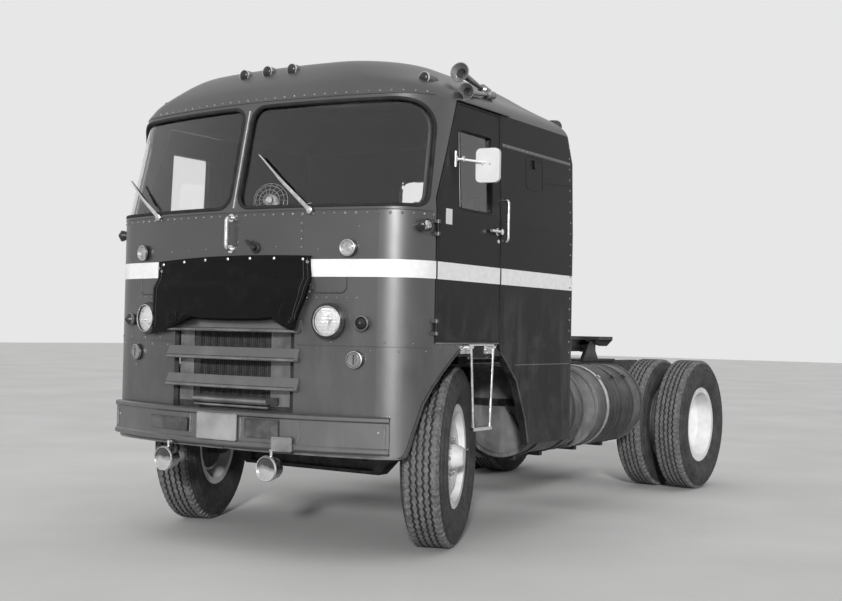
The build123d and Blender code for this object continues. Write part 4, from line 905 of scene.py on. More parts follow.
def windshield_seals():
    """A round black rubber at each pane's edge, and the chrome strip on the post."""
    for side, loop in pane_rings().items():
        points = resample(loop, 0.02, closed=True)
        shape = Shape()
        spots = list(zip(points, skin_normals(points)))
        bead(shape, spots, SEAL_WIDTH, SEAL_HEIGHT, closed=True, sink=0.012)
        piece("windshield_rubber_left" if side > 0 else "windshield_rubber_right", shape, SEAL)
    strip = Shape()
    spots = [from_front(8, z) for z in range(2012, 2640, 40)]
    bead(strip, [s for s in spots if s], 0.013, 0.007)
    piece("post_strip", strip, CHROME)


windshield_seals()


# Rivets, seams and welts

RIVET_R = 0.0088
RIVET_H = 0.0048
# heights of the lapped seams and of the rivet rows beside them
PANE_SEAM_Z = 1990
PANE_RIVETS_Z = 1966
BROW_SEAM_Z = 2668
BROW_RIVETS_Z = 2683
LOW_SEAM_Z = 1214
LOW_RIVETS_Z = (1236, 1192)
LOW_SEAM_INNER = 0.49
EAVES_Z = 2475
SKIRT_SEAM_Z = 1105
REAR_RIVETS_Y = 1108
LONE_RIVETS = [(-360, 1768), (-210, 1772), (330, 1778), (610, 1762), (-520, 1764), (860, 1890), (-880, 1060)]


def rivet_rows():
    """Rows of round heads where the cab's sheets lap, paler than the paint as a painted highlight."""
    shape = Shape()
    brow = Shape()

    def heads(spots, wide=1.0, high=1.0, target=shape):
        for spot in spots:
            dome(target, *spot, RIVET_R * wide, RIVET_H * high)

    heads(round_nose(PANE_RIVETS_Z, step=0.068))
    heads([from_front(500, z) for z in range(1775, 1960, 46)], 0.7, 0.7)
    for side, _ in SIDES:
        heads([from_front(side * x, 1486) for x in range(545, 860, 62)], 0.7, 0.7)
        heads([from_front(side * 562, z) for z in range(1520, 1610, 40)], 0.7, 0.7)
    for first, height in enumerate(LOW_RIVETS_Z):
        spots = enumerate(round_nose(height, step=0.082))
        heads([s for index, s in spots if abs(s[0].x) > 0.5 and index % 2 == first], 0.75)
    heads([from_front(x, z) for x, z in LONE_RIVETS], 0.6, 0.6)
    for side, _ in SIDES:
        heads([from_side(y, EAVES_Z, side) for y in range(175, 1150, 62)])
        heads([from_side(REAR_RIVETS_Y, z, side) for z in range(1180, 2660, 74)], 0.8)
    heads([from_behind(x, z) for x in range(-1080, 1081, 72) for z in (2560, 1240)])
    heads(round_nose(BROW_RIVETS_Z, -88, 88, 0.07), 0.9, target=brow)
    piece("cab_rivets", shape, RIVET_PAINTED_HIGHLIGHT)
    piece("brow_rivets", brow, RIVET_PAINTED_HIGHLIGHT)


rivet_rows()


def seam_lines():
    """Lapped sheet edges: under the windshield, across the nose and down its sides."""
    shape = Shape()
    bead(shape, round_nose(PANE_SEAM_Z, step=0.03), 0.014, 0.004)
    bead(shape, round_nose(BROW_SEAM_Z, -90, 90, 0.03), 0.012, 0.005)
    lower = round_nose(LOW_SEAM_Z, step=0.03)
    for side, _ in SIDES:
        bead(shape, [s for s in lower if s[0].x * side > LOW_SEAM_INNER], 0.005, 0.0022)
    for side, _ in SIDES:
        bead(shape, [from_side(y, SKIRT_SEAM_Z, side) for y in range(330, 1125, 30)], 0.007, 0.003)
        bead(shape, [from_side(y, EAVES_Z, side) for y in range(160, 1125, 30)], 0.022, 0.0025)
    bead(shape, [from_front(510, z) for z in range(1740, 1985, 24)], 0.005, 0.002)
    piece("sheet_seams", shape, PAINT)


seam_lines()


def door_ring(inset):
    """The door's outline on the skin, moved in from its edge."""
    lean = (DOOR_TOP_FRONT - DOOR_FRONT) / (DOOR_HIGH - DOOR_RAKE_START)
    corners = [
        (DOOR_FRONT + inset, DOOR_LOW + inset), (DOOR_REAR - inset, DOOR_LOW + inset),
        (DOOR_REAR - inset, DOOR_HIGH - inset), (DOOR_TOP_FRONT + inset - lean * inset, DOOR_HIGH - inset),
        (DOOR_FRONT + inset, DOOR_RAKE_START),
    ]
    return rounded(corners, 26)

# the side window's corners, its middle and how far outside them its rubber lies
WINDOW = [(-352, 2035), (15, 2035), (15, 2492), (-350, 2492)]
WINDOW_MIDDLE = Vector((-170, 2263))
WINDOW_OUT = 8
DOOR_RUBBER_INSET = 7


def door_welts():
    """Black rubber round each door, and the window's channel."""
    for side, tag in SIDES:
        shape = Shape()
        spots = side_run(door_ring(DOOR_RUBBER_INSET), side, 0.025, least=0.9, closed=True)
        bead(shape, spots, 0.010, 0.005, closed=True)

        def beside(y, z):
            away = (Vector((y, z)) - WINDOW_MIDDLE).normalized() * WINDOW_OUT
            return from_side(y + away.x, z + away.y, side)

        bead(shape, spots_along(rounded(WINDOW, 18), 0.02, beside, closed=True), 0.010, 0.005, closed=True)
        piece("door_%s_rubbers" % tag, shape, SEAL, "door_" + tag)


door_welts()

# wheel arch edge on the skin, (y, z), from the nose to the skirt
ARCH_EDGE = [
    (-797, 592), (-774, 600), (-758, 640), (-733, 740), (-680, 900), (-610, 995), (-514, 1072), (-407, 1147),
    (-270, 1239),
]
ARCH_EDGE_REAR = [(70, 1239), (210, 1130), (355, 1000), (480, 755), (525, 600)]


def arch_welts():
    """The rolled lip round each front wheel arch, paler than the side as a painted highlight, and a black line
    inside it that is painted shadow under the lip.
    """
    for side, tag in SIDES:
        lip = Shape()
        gap_shade = Shape()
        for line, shift in ((ARCH_EDGE, -5), (ARCH_EDGE_REAR, 5)):
            bead(lip, side_run(line, side, shift=shift, rise=4.0), 0.009, 0.006)
            bead(gap_shade, side_run(line, side, shift=shift * 3.2, rise=4.0), 0.005, 0.0012)
        piece("arch_lip_" + tag, lip, ARCH_LIP_HIGHLIGHT)
        piece("arch_shadow_line_" + tag, gap_shade, SEAL)


SILL_STRIP = [(-386, 1162), (-268, 1240), (68, 1240), (168, 1162)]
SILL_RAIL_Z = 1240
SILL_CLIPS_Z = 1229
SILL_CLIPS = [-560, -431, -377, -160, 96]
LADDER_TABS_Z = 1202
LADDER_TABS = [(-340, -232), (-60, 66)]


def sill_strips():
    """The panel strip under each door, the drip rail over it and the ladder's bolted tabs."""
    for side, tag in SIDES:
        out = Vector((side, 0, 0))
        strip = Shape()
        outer = [mm(side * (CAB_HALF - 1), y, z) for y, z in SILL_STRIP]
        inner = [mm(side * (CAB_HALF - 4), y, z) for y, z in SILL_STRIP]
        strip.lid(outer)
        strip.add(inner, [(3, 2, 1, 0)])
        strip.grid([outer, inner], around=True)
        piece("sill_strip_" + tag, strip, SHADED_SIDE_PAINT)
        rail = Shape()
        bead(rail, [(mm(side * CAB_HALF, y, SILL_RAIL_Z), out) for y in range(-600, 138, 30)], 0.010, 0.006)
        for y in SILL_CLIPS:
            slab(rail, at(mm(side * (CAB_HALF + 2), y, SILL_CLIPS_Z)), (0.003, 0.006, 0.018), 0.001)
        piece("sill_rail_" + tag, rail, EDGE_WEAR_AND_HIGHLIGHT)
        tabs = Shape()
        for y0, y1 in LADDER_TABS:
            middle = mm(side * (CAB_HALF + 2.5), (y0 + y1) / 2, LADDER_TABS_Z)
            slab(tabs, at(middle), (0.005, (y1 - y0) / 1000, 0.046))
            for y in (y0 + 18, y1 - 18):
                dome(tabs, mm(side * (CAB_HALF + 5), y, LADDER_TABS_Z), out, 0.009, 0.006)
        piece("ladder_tabs_" + tag, tabs, DULL_BRIGHT)


arch_welts()
sill_strips()


# Nose details: flaps, latch, lamps and plates

def nose_y(x):
    """The nose's face at a distance from the middle, in datum millimetres."""
    return CAB_FRONT + BOW_R - math.sqrt(BOW_R ** 2 - x ** 2)


def flap_line(shape, box, out, cut, width, height):
    """The line round a small hinged cover under the stripe, a given way outside its edge."""
    x0, x1, z0, z1 = box
    corners = [
        (x0 - out, z1), (x0 - out, z0 + cut), (x0 + cut, z0 - out),
        (x1 - cut, z0 - out), (x1 + out, z0 + cut), (x1 + out, z1),
    ]
    bead(shape, spots_along(corners, 0.012, from_front), width, height)


FLAPS = [(582, 789, 1517, 1604), (-837, -658, 1507, 1604)]
NOSE_LATCH = (187, 1774)
NOSE_LOW = 600
NOSE_SIDE_START = -802


def nose_details():
    """The two flaps with black lines round them that are painted shade in their gaps, the latch and the rolled lip
    along the nose's foot.
    """
    shape = Shape()
    gap_shade = Shape()
    for box in FLAPS:
        flap_line(shape, box, 0, 22, 0.006, 0.003)
        flap_line(gap_shade, box, 6, 20, 0.004, 0.0012)
    piece("nose_flaps", shape, PAINT)
    piece("nose_flap_gap_shades", gap_shade, LAMP_BLACK)
    catch = Shape()
    place = at(*from_front(*NOSE_LATCH))
    lathe(catch, [(0.0, 0.034), (0.008, 0.032), (0.013, 0.018), (0.032, 0.015), (0.038, 0.0)], place, 18)
    handle = place @ Matrix.Rotation(0.9, 4, "Z") @ at((0.0, 0.028, 0.026))
    slab(catch, handle, (0.018, 0.085, 0.016), 0.004)
    piece("nose_latch", catch, LAMP_BLACK)
    lip = Shape()
    low = [p for p, _ in round_nose(NOSE_LOW, step=0.03) if p.y < mm(0, NOSE_SIDE_START, 0).y]
    for side, _ in SIDES:
        tube(lip, [p - Vector((0, 0, 0.006)) for p in low if p.x * side > 0.02], 0.0065, 8)
    piece("nose_lower_lip", lip, EDGE_WEAR_AND_HIGHLIGHT)


nose_details()

# Round lamps and vents on the nose: across, height, radius
NOSE_LAMPS = [
    ("headlamp", 702, 1353, 83), ("upper_lamp", 802, 1767, 40),
    ("side_lamp", 899, 1344, 33), ("vent", 854, 1139, 42),
]
# the ring on each: how its name ends, its finish and its points of (height, how far outside the radius)
LAMP_RINGS = {
    "headlamp": ("_ring", CHROME, [(-0.004, 0.004), (0.006, 0.003), (0.008, 0.0), (0.003, -0.002)]),
    "upper_lamp": ("_band", DULL_BRIGHT, [
        (-0.01, 0.008), (0.003, 0.008), (0.006, 0.003), (0.002, -0.003), (-0.01, -0.003),
    ]),
    "side_lamp": ("_rim", EDGE_WEAR_AND_HIGHLIGHT, [(-0.01, 0.009), (0.004, 0.008), (0.006, 0.004), (-0.01, 0.0)]),
    "vent": ("_rim", DULL_BRIGHT, [(-0.01, 0.007), (0.004, 0.006), (0.005, 0.002), (-0.01, 0.0)]),
}
HEADLAMP_BEZEL = 0.020
FOG_LAMP = (402, 512)
FOG_LAMP_R = 0.064
CORNER_LAMP = (1150, -700, 1900)
CORNER_LAMP_AZIMUTH = 58


def lamp_front(node, x, z):
    """The front of a lamp's CAD solid at its middle, and its facing direction."""
    skin, normal = from_front(x, z)
    point = search_tree(node).ray_cast(skin + normal * 0.6, -normal)[0]
    return (skin if point is None else point), normal


def glazed(tag, point, normal, radius, bezel, ring_finish, bulge, lens_finish=LENS_GLASS_PAINTED_REFLECTION):
    """A lens with its rim, set just in front of the CAD lamp."""
    place = at(point - normal * bulge, normal)
    lens = Shape()
    curve = []
    for step in range(9):
        t = step / 8
        curve.append((bulge + 0.0015 - bulge * t * t, radius * t))
    lathe(lens, curve, place, 40)
    piece(tag + "_lens", lens, lens_finish)
    rim = Shape()
    r = radius
    profile = [
        (-0.012, r + bezel), (0.004, r + bezel), (0.009, r + bezel * 0.6),
        (0.007, r + bezel * 0.1), (-0.002, r - 0.002), (-0.012, r - 0.002),
    ]
    lathe(rim, profile, place, 44, closed=True)
    piece(tag + "_rim", rim, ring_finish)


def ring_on(tag, place, radius, points, finish):
    """One turned ring on a lamp, from points of (height, how far outside the radius)."""
    shape = Shape()
    lathe(shape, [(height, radius + out) for height, out in points], place, 40, closed=True)
    piece(tag, shape, finish)


def vent_face(tag, place, radius):
    """A round vent: pale disc, a raised crescent and a dark upright slit."""
    face = Shape()
    lathe(face, [(0.0, radius), (0.003, radius * 0.94), (0.0015, radius * 0.6), (0.003, 0.0)], place, 32)
    crescent = []
    for step in range(15):
        angle = math.radians(-80 + 160 * step / 14)
        c = math.cos(angle)
        s = radius * 0.9 * math.sin(angle)
        inner = radius * (0.9 - 0.42 * c ** 0.6) * c
        crescent.append([place @ Vector((radius * 0.9 * c, s, 0.004)), place @ Vector((inner, s, 0.008))])
    face.grid(crescent)
    piece(tag + "_face", face, GREY_PLATE)
    slit = Shape()
    slab(slit, place @ at((-radius * 0.08, 0, 0.004)), (radius * 0.12, radius * 1.35, 0.003), 0.002)
    piece(tag + "_slit", slit, LAMP_BLACK)


def toward(azimuth, height):
    """A unit vector at an azimuth from the nose to the truck's left, and at a height, in degrees."""
    a = math.radians(azimuth)
    h = math.radians(height)
    return Vector((math.sin(a) * math.cos(h), -math.cos(a) * math.cos(h), math.sin(h)))


def corner_lamps():
    """The cut-crystal lamps on the cab's corners."""
    tree = search_tree("marker_lamps")
    heading = toward(CORNER_LAMP_AZIMUTH, 0)
    x, y, z = CORNER_LAMP
    for side, tag in SIDES:
        facing = Vector((side * heading.x, heading.y, 0))
        point, _ = cast(mm(side * x, y, z) + facing * 0.6, -facing, tree)
        place = at(point - facing * 0.006, facing)
        lens = Shape()
        lathe(lens, [(0.0, 0.029), (0.008, 0.027), (0.016, 0.020), (0.021, 0.010), (0.022, 0.0)], place, 10)
        piece("corner_lamp_%s_lens" % tag, lens, CRYSTAL_PAINTED_GLINTS, sharp=5.0)
        rim = [(-0.012, 0.036), (0.004, 0.037), (0.008, 0.033), (0.004, 0.029), (-0.012, 0.029)]
        ring_on("corner_lamp_%s_rim" % tag, place, 0.0, rim, LAMP_BLACK)


def nose_lamps():
    """Headlamps, signal lamps and the round vents below them."""
    headlamps = search_tree("headlamps")
    for side, tag in SIDES:
        for kind, x, z, radius in NOSE_LAMPS:
            point, normal = lamp_front("headlamps" if kind == "headlamp" else "marker_lamps", side * x, z)
            place = at(point, normal)
            r = radius / 1000
            name = kind + "_" + tag
            if kind == "vent":
                vent_face(name, place, r)
            elif kind == "side_lamp":
                cone = Shape()
                profile = [(0.0, r), (0.012, r * 0.72), (0.024, r * 0.42), (0.03, r * 0.2), (0.031, 0.0)]
                lathe(cone, profile, place, 28)
                piece(name + "_lens", cone, LAMP_BLACK)
            elif kind == "upper_lamp":
                glazed(name, point, normal, r * 0.88, 0.003, CHROME, 0.008, DIM_GLASS)
            else:
                glazed(name, point, normal, r, HEADLAMP_BEZEL, LAMP_BLACK, 0.014)
            ending, finish, profile = LAMP_RINGS[kind]
            ring_on(name + ending, place, r, profile, finish)
        point, _ = from_front(side * FOG_LAMP[0], FOG_LAMP[1], headlamps)
        glazed("fog_lamp_" + tag, point, FORWARD, FOG_LAMP_R, 0.009, CHROME, 0.012, FOG_BOWL_PAINTED_REFLECTION)
    corner_lamps()


nose_lamps()

# Roof lamps: across, along, height of the middle
ROOF_LAMPS = [
    (0, -712, 2884), (-190, -708, 2880), (190, -708, 2880), (1030, -525, 2782), (-1030, -525, 2782),
]
LENS_PROFILE = [(0.001, 0.0335), (0.009, 0.029), (0.015, 0.018), (0.017, 0.0)]
RIM_PROFILE = [(-0.006, 0.0362), (0.003, 0.0362), (0.004, 0.033), (-0.006, 0.033)]
SHELL_PROFILE = [
    (-0.006, 0.0358), (-0.054, 0.0344), (-0.09, 0.0288), (-0.126, 0.0224), (-0.155, 0.011), (-0.18, 0.0),
]


def roof_lamps():
    """Dark lenses and bright lower rims on the torpedo lamps, and their pale shells."""
    lenses = Shape()
    rims = Shape()
    shells = Shape()
    for spot in ROOF_LAMPS:
        place = at(mm(*spot), FORWARD)
        lathe(lenses, LENS_PROFILE, place, 28)
        lathe(rims, RIM_PROFILE, place, 32, closed=True)
        lathe(shells, SHELL_PROFILE, place, 28)
    piece("roof_lamp_lenses", lenses, LAMP_BLACK)
    piece("roof_lamp_rims", rims, CHROME)
    piece("roof_lamp_shells", shells, EDGE_WEAR_AND_HIGHLIGHT)


roof_lamps()

# Blank plates on the bumper: from, to, low, high, stand-off, finish
PLATES = [
    ("plate_dark", -616, -258, 679, 761, 4, DARK_PLATE),
    ("plate_pale", -175, 138, 647, 805, 7, PALE_PLATE),
    ("plate_second", 188, 426, 672, 785, 4, DARK_PLATE),
    ("plate_small", 385, 524, 607, 690, 15, GREY_PLATE),
]
BUMPER_TREE = search_tree("bumper")
# runs of (across, height) on the bumper's face
BUMPER_RIBS = [[(-236, 676), (-236, 790)], [(163, 668), (163, 783)]]
BUMPER_PRESSES = [[(1046, 668), (1046, 776)], [(-1046, 668), (-1046, 776)]]
BUMPER_CHEVRON = [(543, 660), (560, 700), (543, 776)]
BUMPER_SCREWS = [(-1020, 738), (1012, 738)]


def on_bumper(x, z):
    return from_front(x, z, BUMPER_TREE)


def blank_plate(name, x0, x1, z0, z1, stand, finish):
    """A pressed plate with a raised rim and two screws, with nothing on it."""
    point, normal = on_bumper((x0 + x1) / 2, (z0 + z1) / 2)
    normal = Vector((normal.x, normal.y, 0)).normalized()
    place = at(point + normal * (stand / 1000), normal)
    shape = Shape()
    w = (x1 - x0) / 2000
    h = (z1 - z0) / 2000
    slab(shape, place, (w * 2, h * 2, 0.002), 0.008)
    a = w - 0.005
    b = h - 0.005
    rim = rounded([(-a, -b), (a, -b), (a, b), (-a, b)], 0.006, 3)
    bead(shape, [(place @ Vector((p.x, p.y, 0.001)), normal) for p in rim], 0.005, 0.003, closed=True)
    for across in (-0.6, 0.6):
        dome(shape, place @ Vector((w * across, h * 0.72, 0.001)), normal, 0.006, 0.004)
    piece(name, shape, finish)


def bumper_details():
    """Blank plates, the two upright ribs beside them and the pressed ends."""
    for plate in PLATES:
        blank_plate(*plate)
    ribs = Shape()
    for line in BUMPER_RIBS:
        bead(ribs, spots_along(line, 0.02, on_bumper), 0.009, 0.008)
    piece("bumper_ribs", ribs, DULL_BRIGHT)
    pressed = Shape()
    for line in BUMPER_PRESSES:
        bead(pressed, spots_along(line, 0.02, on_bumper), 0.014, 0.007)
    bead(pressed, spots_along(BUMPER_CHEVRON, 0.02, on_bumper), 0.008, 0.005)
    piece("bumper_presses", pressed, EDGE_WEAR_AND_HIGHLIGHT)
    screws = Shape()
    for x, z in BUMPER_SCREWS:
        dome(screws, *on_bumper(x, z), 0.008, 0.005, 10)
    piece("bumper_screws", screws, DULL_BRIGHT)


bumper_details()


# Behind the grille: core face, side plates and the rolled shelf under the core

CORE_Y = -909
CORE_MIDDLE_Z = 1250
CORE_SIZE = (0.60, 0.006, 0.84)
TUBE_COUNT = 40
TUBE_START = -292
TUBE_PITCH = 15
TUBE_WIDTH = 0.0022
# the rolled shelf: its ends across, then along, height, radius and steps of each of its two tubes
SHELF_ENDS = (-328, 250)
SHELF_TUBES = [(-934, 872, 0.020, 10), (-930, 838, 0.008, 8)]
SIDE_PLATE_Y = -922
# across and height of each side plate's edges
SIDE_PLATES = [(-462, -350, 858, 1290), (262, 408, 850, 1290)]


def grille_inside():
    """The core seen between the bars, its side plates and the shelf under it."""
    core = Shape()
    slab(core, at(mm(0, CORE_Y, CORE_MIDDLE_Z)), CORE_SIZE)
    piece("radiator_core", core, RADIATOR_CORE_SHADED)
    fins = Shape()
    for index in range(TUBE_COUNT):
        middle = mm(TUBE_START + index * TUBE_PITCH, CORE_Y - 5, CORE_MIDDLE_Z)
        slab(fins, at(middle), (TUBE_WIDTH, *CORE_SIZE[1:]))
    piece("radiator_tubes", fins, SHROUD)
    plates = Shape()
    for x0, x1, z0, z1 in SIDE_PLATES:
        middle = mm((x0 + x1) / 2, SIDE_PLATE_Y, (z0 + z1) / 2)
        slab(plates, at(middle), ((x1 - x0) / 1000, 0.004, (z1 - z0) / 1000))
        for x in (x0 + 14, x1 - 14):
            for z in (z0 + 16, (z0 + z1) / 2, z1 - 16):
                dome(plates, mm(x, SIDE_PLATE_Y - 2, z), FORWARD, 0.006, 0.004)
    piece("radiator_side_plates", plates, SIDE_PLATE)
    shelf = Shape()
    for y, z, radius, steps in SHELF_TUBES:
        tube(shelf, resample([mm(x, y, z) for x in SHELF_ENDS], 0.02), radius, steps)
    piece("radiator_shelf", shelf, SHEET_METAL)


grille_inside()

BARS_Z = [986.0, 1154.0, 1320.0]
BAR_TREE = search_tree("grille_bars")


def bar_lip_highlights():
    """The rolled lip low on each bar, paler as a painted highlight, and a black line over it that is painted shade
    in the crease.
    """
    lip_highlights = Shape()
    crease_shades = Shape()
    for z in BARS_Z:
        for shape, drop, width, height in ((lip_highlights, -29, 0.011, 0.0035), (crease_shades, -17, 0.004, 0.0012)):
            spots = [from_front(x, z + drop, BAR_TREE) for x in range(-512, 521, 24)]
            bead(shape, [s for s in spots if s], width, height)
    # pale lips are a painted highlight; the black lines over them are painted shade
    piece("bar_lip_highlights", lip_highlights, EDGE_WEAR_AND_HIGHLIGHT)
    piece("bar_creases", crease_shades, LAMP_BLACK)


bar_lip_highlights()


# Winter cover

COVER_TOP_LEFT = (-641.0, 1706.0)
COVER_TOP_RIGHT = (574.0, 1725.0)

# lower edge of the cover: share across, place across, height, how far it stands off
COVER_LOW = [
    (0.00, -650, 1255, 22), (0.07, -560, 1272, 40), (0.14, -473, 1297, 58), (0.21, -385, 1326, 56),
    (0.27, -315, 1352, 44), (0.31, -272, 1366, 30), (0.37, -200, 1360, 26), (0.46, -85, 1358, 28),
    (0.55, 25, 1357, 28), (0.65, 145, 1358, 28), (0.74, 250, 1360, 26), (0.80, 322, 1366, 16),
    (0.825, 348, 1370, 14), (0.85, 378, 1345, 42), (0.89, 415, 1324, 64), (0.94, 460, 1307, 64),
    (0.975, 490, 1300, 52), (1.00, 505, 1304, 36),
]


def along_low(u):
    """The cover's lower edge at a share across: place across, height and stand-off."""
    for a, b in zip(COVER_LOW, COVER_LOW[1:]):
        if u <= b[0]:
            t = (u - a[0]) / (b[0] - a[0])
            t = t * t * (3 - 2 * t)
            return [a[i] + (b[i] - a[i]) * t for i in (1, 2, 3)]
    return COVER_LOW[-1][1:]


# how far the bars stand out of the nose, where the cover comes down onto them and over what
# height it does, and the least way the cloth keeps in front of both
BARS_OUT = 44.0
BARS_TOP = 1530.0
BARS_RAMP = 95.0
COVER_CLEAR = 6.0


def under_cover(x, z):
    """How far forward the nose and bars reach under the cover, in datum millimetres."""
    t = min(1.0, max(0.0, (BARS_TOP + BARS_RAMP - z) / BARS_RAMP))
    return nose_y(x) - BARS_OUT * t * t * (3 - 2 * t)


def bunch(u, v, spot, width, count, turn):
    """Creases that fan out from where the cover's corner is gathered."""
    dx = (u - spot) * 2.6
    dy = 1.04 - v
    reach = math.hypot(dx, dy)
    angle = math.atan2(dx, dy)
    return math.sin(angle * count + turn + reach * 2.0) * math.exp(-((reach - 0.12) / width) ** 2)


COVER_ACROSS = 1.2
COVER_DOWN = 0.42
# folds of the cover: start and end as (u, v), and the side on which the roll lies
COVER_FOLDS = [
    ((0.02, 0.50), (0.30, 0.90), -1), ((0.815, 0.99), (0.90, 0.60), -1), ((0.90, 0.60), (0.985, 0.86), -1),
]


def fold_line(u, v, start, end, width):
    """How near a point of the cover lies to a fold, how far to its side, and how far within its ends."""
    ax, ay = start[0] * COVER_ACROSS, start[1] * COVER_DOWN
    bx, by = end[0] * COVER_ACROSS, end[1] * COVER_DOWN
    px, py = u * COVER_ACROSS, v * COVER_DOWN
    length = math.hypot(bx - ax, by - ay)
    along = ((px - ax) * (bx - ax) + (py - ay) * (by - ay)) / length ** 2
    off = ((px - ax) * (by - ay) - (py - ay) * (bx - ax)) / length
    cap = max(0.0, abs(along - 0.5) - 0.5) * length
    near = math.exp(-(off / width) ** 2 - (cap / 0.05) ** 2)
    return near, off, math.exp(-(cap / 0.07) ** 2)


def cover_point(u, v):
    """A point of the cover: u across from the truck's right, v down from the top."""
    low_x, low_z, low_stand = along_low(u)
    top_x = COVER_TOP_LEFT[0] + (COVER_TOP_RIGHT[0] - COVER_TOP_LEFT[0]) * u
    top_z = COVER_TOP_LEFT[1] + (COVER_TOP_RIGHT[1] - COVER_TOP_LEFT[1]) * u + 14 * math.sin(math.pi * u)
    x = top_x + (low_x - top_x) * v
    x += 36 * u ** 8 * math.sin(math.pi * min(1.0, v * 1.15)) ** 2
    z = top_z + (low_z - top_z) * v
    stand = 9 + (low_stand - 9) * v ** 2.2 + 14 * math.sin(math.pi * v) * math.sin(math.pi * u) ** 0.5
    hem = 10 * math.exp(-((v - 0.955) / 0.035) ** 2)
    left = 9 * bunch(u, v, 0.20, 0.42, 7.0, 0.6)
    right = 9 * bunch(u, v, 0.91, 0.34, 6.0, 2.2)
    fold = noise.noise(Vector((u * 7 + v * 3, v * 2.6, 0.0))) * 8 * v
    crease = noise.noise(Vector((u * 24 - v * 15, v * 18, 5.0))) * 3.2 * v
    tuck = 26 * max(0.0, v - 0.97) / 0.03
    for start, end, sign in COVER_FOLDS:
        near, off, reach = fold_line(u, v, start, end, 0.011)
        roll = math.exp(-((off * sign - 0.034) / 0.022) ** 2) * reach
        fold += 17 * roll - 13 * near
    y = nose_y(x) - stand - hem - left * v - right * v - fold - crease + tuck
    y = min(y, under_cover(x, z) - COVER_CLEAR)
    return mm(x, y, z)


COVER_COLUMNS = 150
COVER_ROWS = 72
COVER_THICKNESS = 0.0022


def winter_cover():
    """The canvas over the upper grille, snapped along its top and bunched at its corners."""
    shape = Shape()
    columns = [c / COVER_COLUMNS for c in range(COVER_COLUMNS + 1)]
    shape.grid([[cover_point(u, r / COVER_ROWS) for u in columns] for r in range(COVER_ROWS + 1)])
    cloth = piece("winter_cover_canvas", shape, CANVAS, sharp=80.0)
    thick = cloth.modifiers.new("thickness", "SOLIDIFY")
    thick.thickness = COVER_THICKNESS
    thick.offset = 0.0
    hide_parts("winter_cover")
    return cloth


# snaps by their place across, and corner grommets as (u, v)
SNAPS = [-585, -385, -198, -14, 155, 328, 523]
GROMMETS = [(0.985, 0.085), (0.012, 0.09), (0.035, 0.14)]


def cover_trim():
    """Stitched borders, the snaps along the top edge and the corner grommets."""
    hem = Shape()
    lines = [[cover_point(u, v / 50) for v in range(1, 47)] for u in (0.022, 0.974)]
    lines.append([cover_point(u / 80, 0.06) for u in range(2, 79)])
    for line in lines:
        bead(hem, [(p + FORWARD * 0.0015, FORWARD) for p in line], 0.026, 0.0022)
    hems = piece("winter_cover_hems", hem, CANVAS)
    stitches = Shape()
    for u in (0.012, 0.032, 0.963, 0.985):
        for v in range(3, 92):
            slab(stitches, at(cover_point(u, v / 100) + FORWARD * 0.0045), (0.0012, 0.001, 0.0028))
    thread = piece("winter_cover_stitches", stitches, SHEET_METAL)
    snaps = Shape()
    for x in SNAPS:
        u = (x - COVER_TOP_LEFT[0]) / (COVER_TOP_RIGHT[0] - COVER_TOP_LEFT[0])
        dome(snaps, cover_point(u, 0.052) + FORWARD * 0.003, FORWARD, 0.0105, 0.006, 12)
    for u, v in GROMMETS:
        place = at(cover_point(u, v) + FORWARD * 0.003, FORWARD)
        lathe(snaps, [(0.0, 0.009), (0.004, 0.008), (0.004, 0.005), (0.0, 0.004)], place, 14)
    studs = piece("winter_cover_snaps", snaps, CHROME)
    return [hems, thread, studs]


COVER = winter_cover()
COVER_TRIM = cover_trim()


# Cab inside: padded seats, bunk, dash dials and the small things behind the glass

PAD_COLUMNS = 44
PAD_ROWS = 36
PAD_PULL = 0.035


def cushion(name, centre, size, crown, channels, tilt=0.0, finish=LEATHER):
    """A crowned pad whose sides pull in between its corners, with sewn channels."""
    a, b, c = (s / 2 for s in size)
    place = at(centre) @ Matrix.Rotation(tilt, 4, "X")

    def pad_point(i, j, sign):
        u = -1 + 2 * i / PAD_COLUMNS
        v = -1 + 2 * j / PAD_ROWS
        x = a * math.copysign(abs(u) ** 0.82, u) * (1 - PAD_PULL * (1 - v * v))
        y = b * math.copysign(abs(v) ** 0.82, v) * (1 - PAD_PULL * (1 - u * u))
        if sign < 0:
            return place @ Vector((x, y, -c * 0.85))
        swell = (1 - u ** 6) * (1 - v ** 6)
        height = c * 0.55 + (c * 0.45 + crown) * max(0.0, swell) ** 0.5
        for k in range(1, channels):
            line = -1 + 2 * k / channels
            height -= 0.012 * math.exp(-((v - line) / 0.035) ** 2) * (1 - u ** 8)
        height += 0.0025 * noise.noise(Vector((u * 4, v * 4, 3.0)))
        return place @ Vector((x, y, height))

    def face(sign):
        return [[pad_point(i, j, sign) for i in range(PAD_COLUMNS + 1)] for j in range(PAD_ROWS + 1)]

    shape = Shape()
    upper = face(1)
    lower = face(-1)
    shape.grid(upper)
    shape.grid([list(reversed(row)) for row in lower])
    bands = []
    for share in (0.0, 0.25, 0.5, 0.75, 1.0):
        band = []
        for i, j in rim_indices(PAD_COLUMNS, PAD_ROWS):
            middle = upper[j][i].lerp(lower[j][i], share)
            out = (middle - place.translation).normalized()
            band.append(middle + out * (0.010 * math.sin(math.pi * share)))
        bands.append(band)
    shape.grid(bands, around=True)
    obj = piece(name, shape, finish, sharp=70.0)
    bm = bmesh.new()
    bm.from_mesh(obj.data)
    bmesh.ops.remove_doubles(bm, verts=bm.verts, dist=0.0001)
    bmesh.ops.recalc_face_normals(bm, faces=bm.faces)
    bm.to_mesh(obj.data)
    bm.free()
    piping = Shape()
    tube(piping, [upper[j][i] for i, j in rim_indices(PAD_COLUMNS, PAD_ROWS)], 0.005, 6, closed=True)
    piece(name + "_piping", piping, finish)


